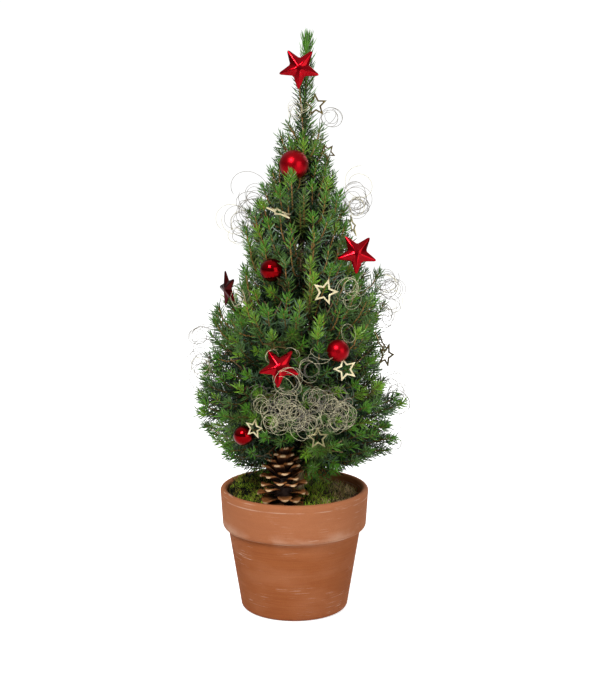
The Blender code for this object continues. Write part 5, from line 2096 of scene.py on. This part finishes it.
def soft_light(name, size, power, place, aim):
    """A large square light that points at a place."""
    data = bpy.data.lights.new(name, "AREA")
    data.shape = "SQUARE"
    data.size = size
    data.energy = power
    obj = linked(name, data)
    obj.location = place
    obj.rotation_euler = (Vector(aim) - Vector(place)).to_track_quat("-Z", "Y").to_euler()


def studio_world(looks):
    """White behind the plant, with soft light from overhead and less from all round."""
    world = bpy.data.worlds.new("studio")
    world.use_nodes = True
    tree = world.node_tree
    light = tree.nodes["Background"]
    direction = new_node(tree, "ShaderNodeTexCoord")
    split = new_node(tree, "ShaderNodeSeparateXYZ")
    fade = new_node(tree, "ShaderNodeMapRange", From_Min=-0.1, From_Max=0.9, To_Min=looks.ground,
                    To_Max=looks.sky)
    join = tree.links.new
    join(direction.outputs["Generated"], split.inputs["Vector"])
    join(split.outputs["Z"], fade.inputs["Value"])
    join(fade.outputs["Result"], light.inputs["Strength"])
    light.inputs["Color"].default_value = (1, 1, 1, 1)
    white = new_node(tree, "ShaderNodeBackground", Color=(1, 1, 1, 1), Strength=1.05)
    path = new_node(tree, "ShaderNodeLightPath")
    choice = new_node(tree, "ShaderNodeMixShader")
    join(path.outputs["Is Camera Ray"], choice.inputs["Fac"])
    join(light.outputs["Background"], choice.inputs[1])
    join(white.outputs["Background"], choice.inputs[2])
    join(choice.outputs["Shader"], tree.nodes["World Output"].inputs["Surface"])
    return world


def floor_material(looks):
    """Pale floor, lit up to white where the camera sees it."""
    pale = Finish("pale_floor", looks.floor, 0.9, 0.1)
    path = pale.node("ShaderNodeLightPath")
    glow = pale.math("MULTIPLY", path.outputs["Is Camera Ray"], looks.glow)
    pale.link(glow, pale.shader.inputs["Emission Strength"])
    pale.shader.inputs["Emission Color"].default_value = (1, 1, 1, 1)
    return pale.material


class SPRUCE_OT_set_stage(bpy.types.Operator):
    """Set the floor, the light and the camera"""

    bl_idname = "spruce.set_stage"
    bl_label = "Set the Stage"

    def execute(self, context):
        looks = context.scene.stage_looks
        deselect()
        bpy.ops.mesh.primitive_circle_add(vertices=96, radius=FLOOR_RADIUS, fill_type="NGON",
                                          location=(0, 0, -0.0002))
        floor = context.object
        floor.name = "floor"
        floor.data.materials.append(floor_material(looks))
        context.scene.world = studio_world(looks)
        context.scene.view_settings.view_transform = "Standard"
        soft_light("key", 0.6, looks.key, (-0.60, -1.25, 1.45), (0, 0, 0.25))
        soft_light("fill", 1.2, looks.key * 0.34, (1.2, -1.4, 0.6), (0, 0, 0.2))
        soft_light("back", 1.0, looks.key * 0.55, (0.9, 1.5, 1.1), (0, 0, 0.25))
        data = bpy.data.cameras.new("camera")
        data.sensor_width = 36.0
        data.lens = looks.lens
        data.clip_start = 0.01
        camera = linked("camera", data)
        camera.location = (looks.aside, -looks.distance, looks.height)
        camera.rotation_euler = (pi / 2 - looks.pitch, 0, 0)
        context.scene.camera = camera
        return {"FINISHED"}


# ------------------------ panel and main

OPERATORS = (
    SPRUCE_OT_turn_pot,
    SPRUCE_OT_fill_soil,
    SPRUCE_OT_lay_moss,
    SPRUCE_OT_set_cone,
    SPRUCE_OT_raise_trunk,
    SPRUCE_OT_grow_foliage,
    SPRUCE_OT_hang_red_stars,
    SPRUCE_OT_hang_baubles,
    SPRUCE_OT_hang_gold_stars,
    SPRUCE_OT_wire_ornaments,
    SPRUCE_OT_drape_fibre,
    SPRUCE_OT_set_stage,
)
SETTINGS = {
    "pot_looks": PotLooks,
    "ground_looks": GroundLooks,
    "foliage_looks": FoliageLooks,
    "ornament_looks": OrnamentLooks,
    "stage_looks": StageLooks,
}


class SPRUCE_PT_panel(bpy.types.Panel):
    """Lists the steps that dress the spruce"""

    bl_idname = "SPRUCE_PT_panel"
    bl_label = "Potted Spruce"
    bl_space_type = "VIEW_3D"
    bl_region_type = "UI"
    bl_category = "Spruce"

    def draw(self, context):
        for operator in OPERATORS:
            self.layout.operator(operator.bl_idname)
        for name, settings in SETTINGS.items():
            box = self.layout.box()
            for label in settings.__annotations__:
                box.prop(getattr(context.scene, name), label)


def register():
    """Register the settings, the operators and the panel."""
    for name, settings in SETTINGS.items():
        bpy.utils.register_class(settings)
        setattr(bpy.types.Scene, name, PointerProperty(type=settings))
    for cls in (*OPERATORS, SPRUCE_PT_panel):
        bpy.utils.register_class(cls)


def unregister():
    """Undo register."""
    for cls in reversed((*OPERATORS, SPRUCE_PT_panel)):
        bpy.utils.unregister_class(cls)
    for name, settings in SETTINGS.items():
        delattr(bpy.types.Scene, name)
        bpy.utils.unregister_class(settings)


def main():
    """Dress the frame: every piece, then the stage."""
    register()
    mottle_group()
    tint_group()
    for operator in OPERATORS:
        family, name = operator.bl_idname.split(".")
        getattr(getattr(bpy.ops, family), name)()


if __name__ == "__main__":
    main()
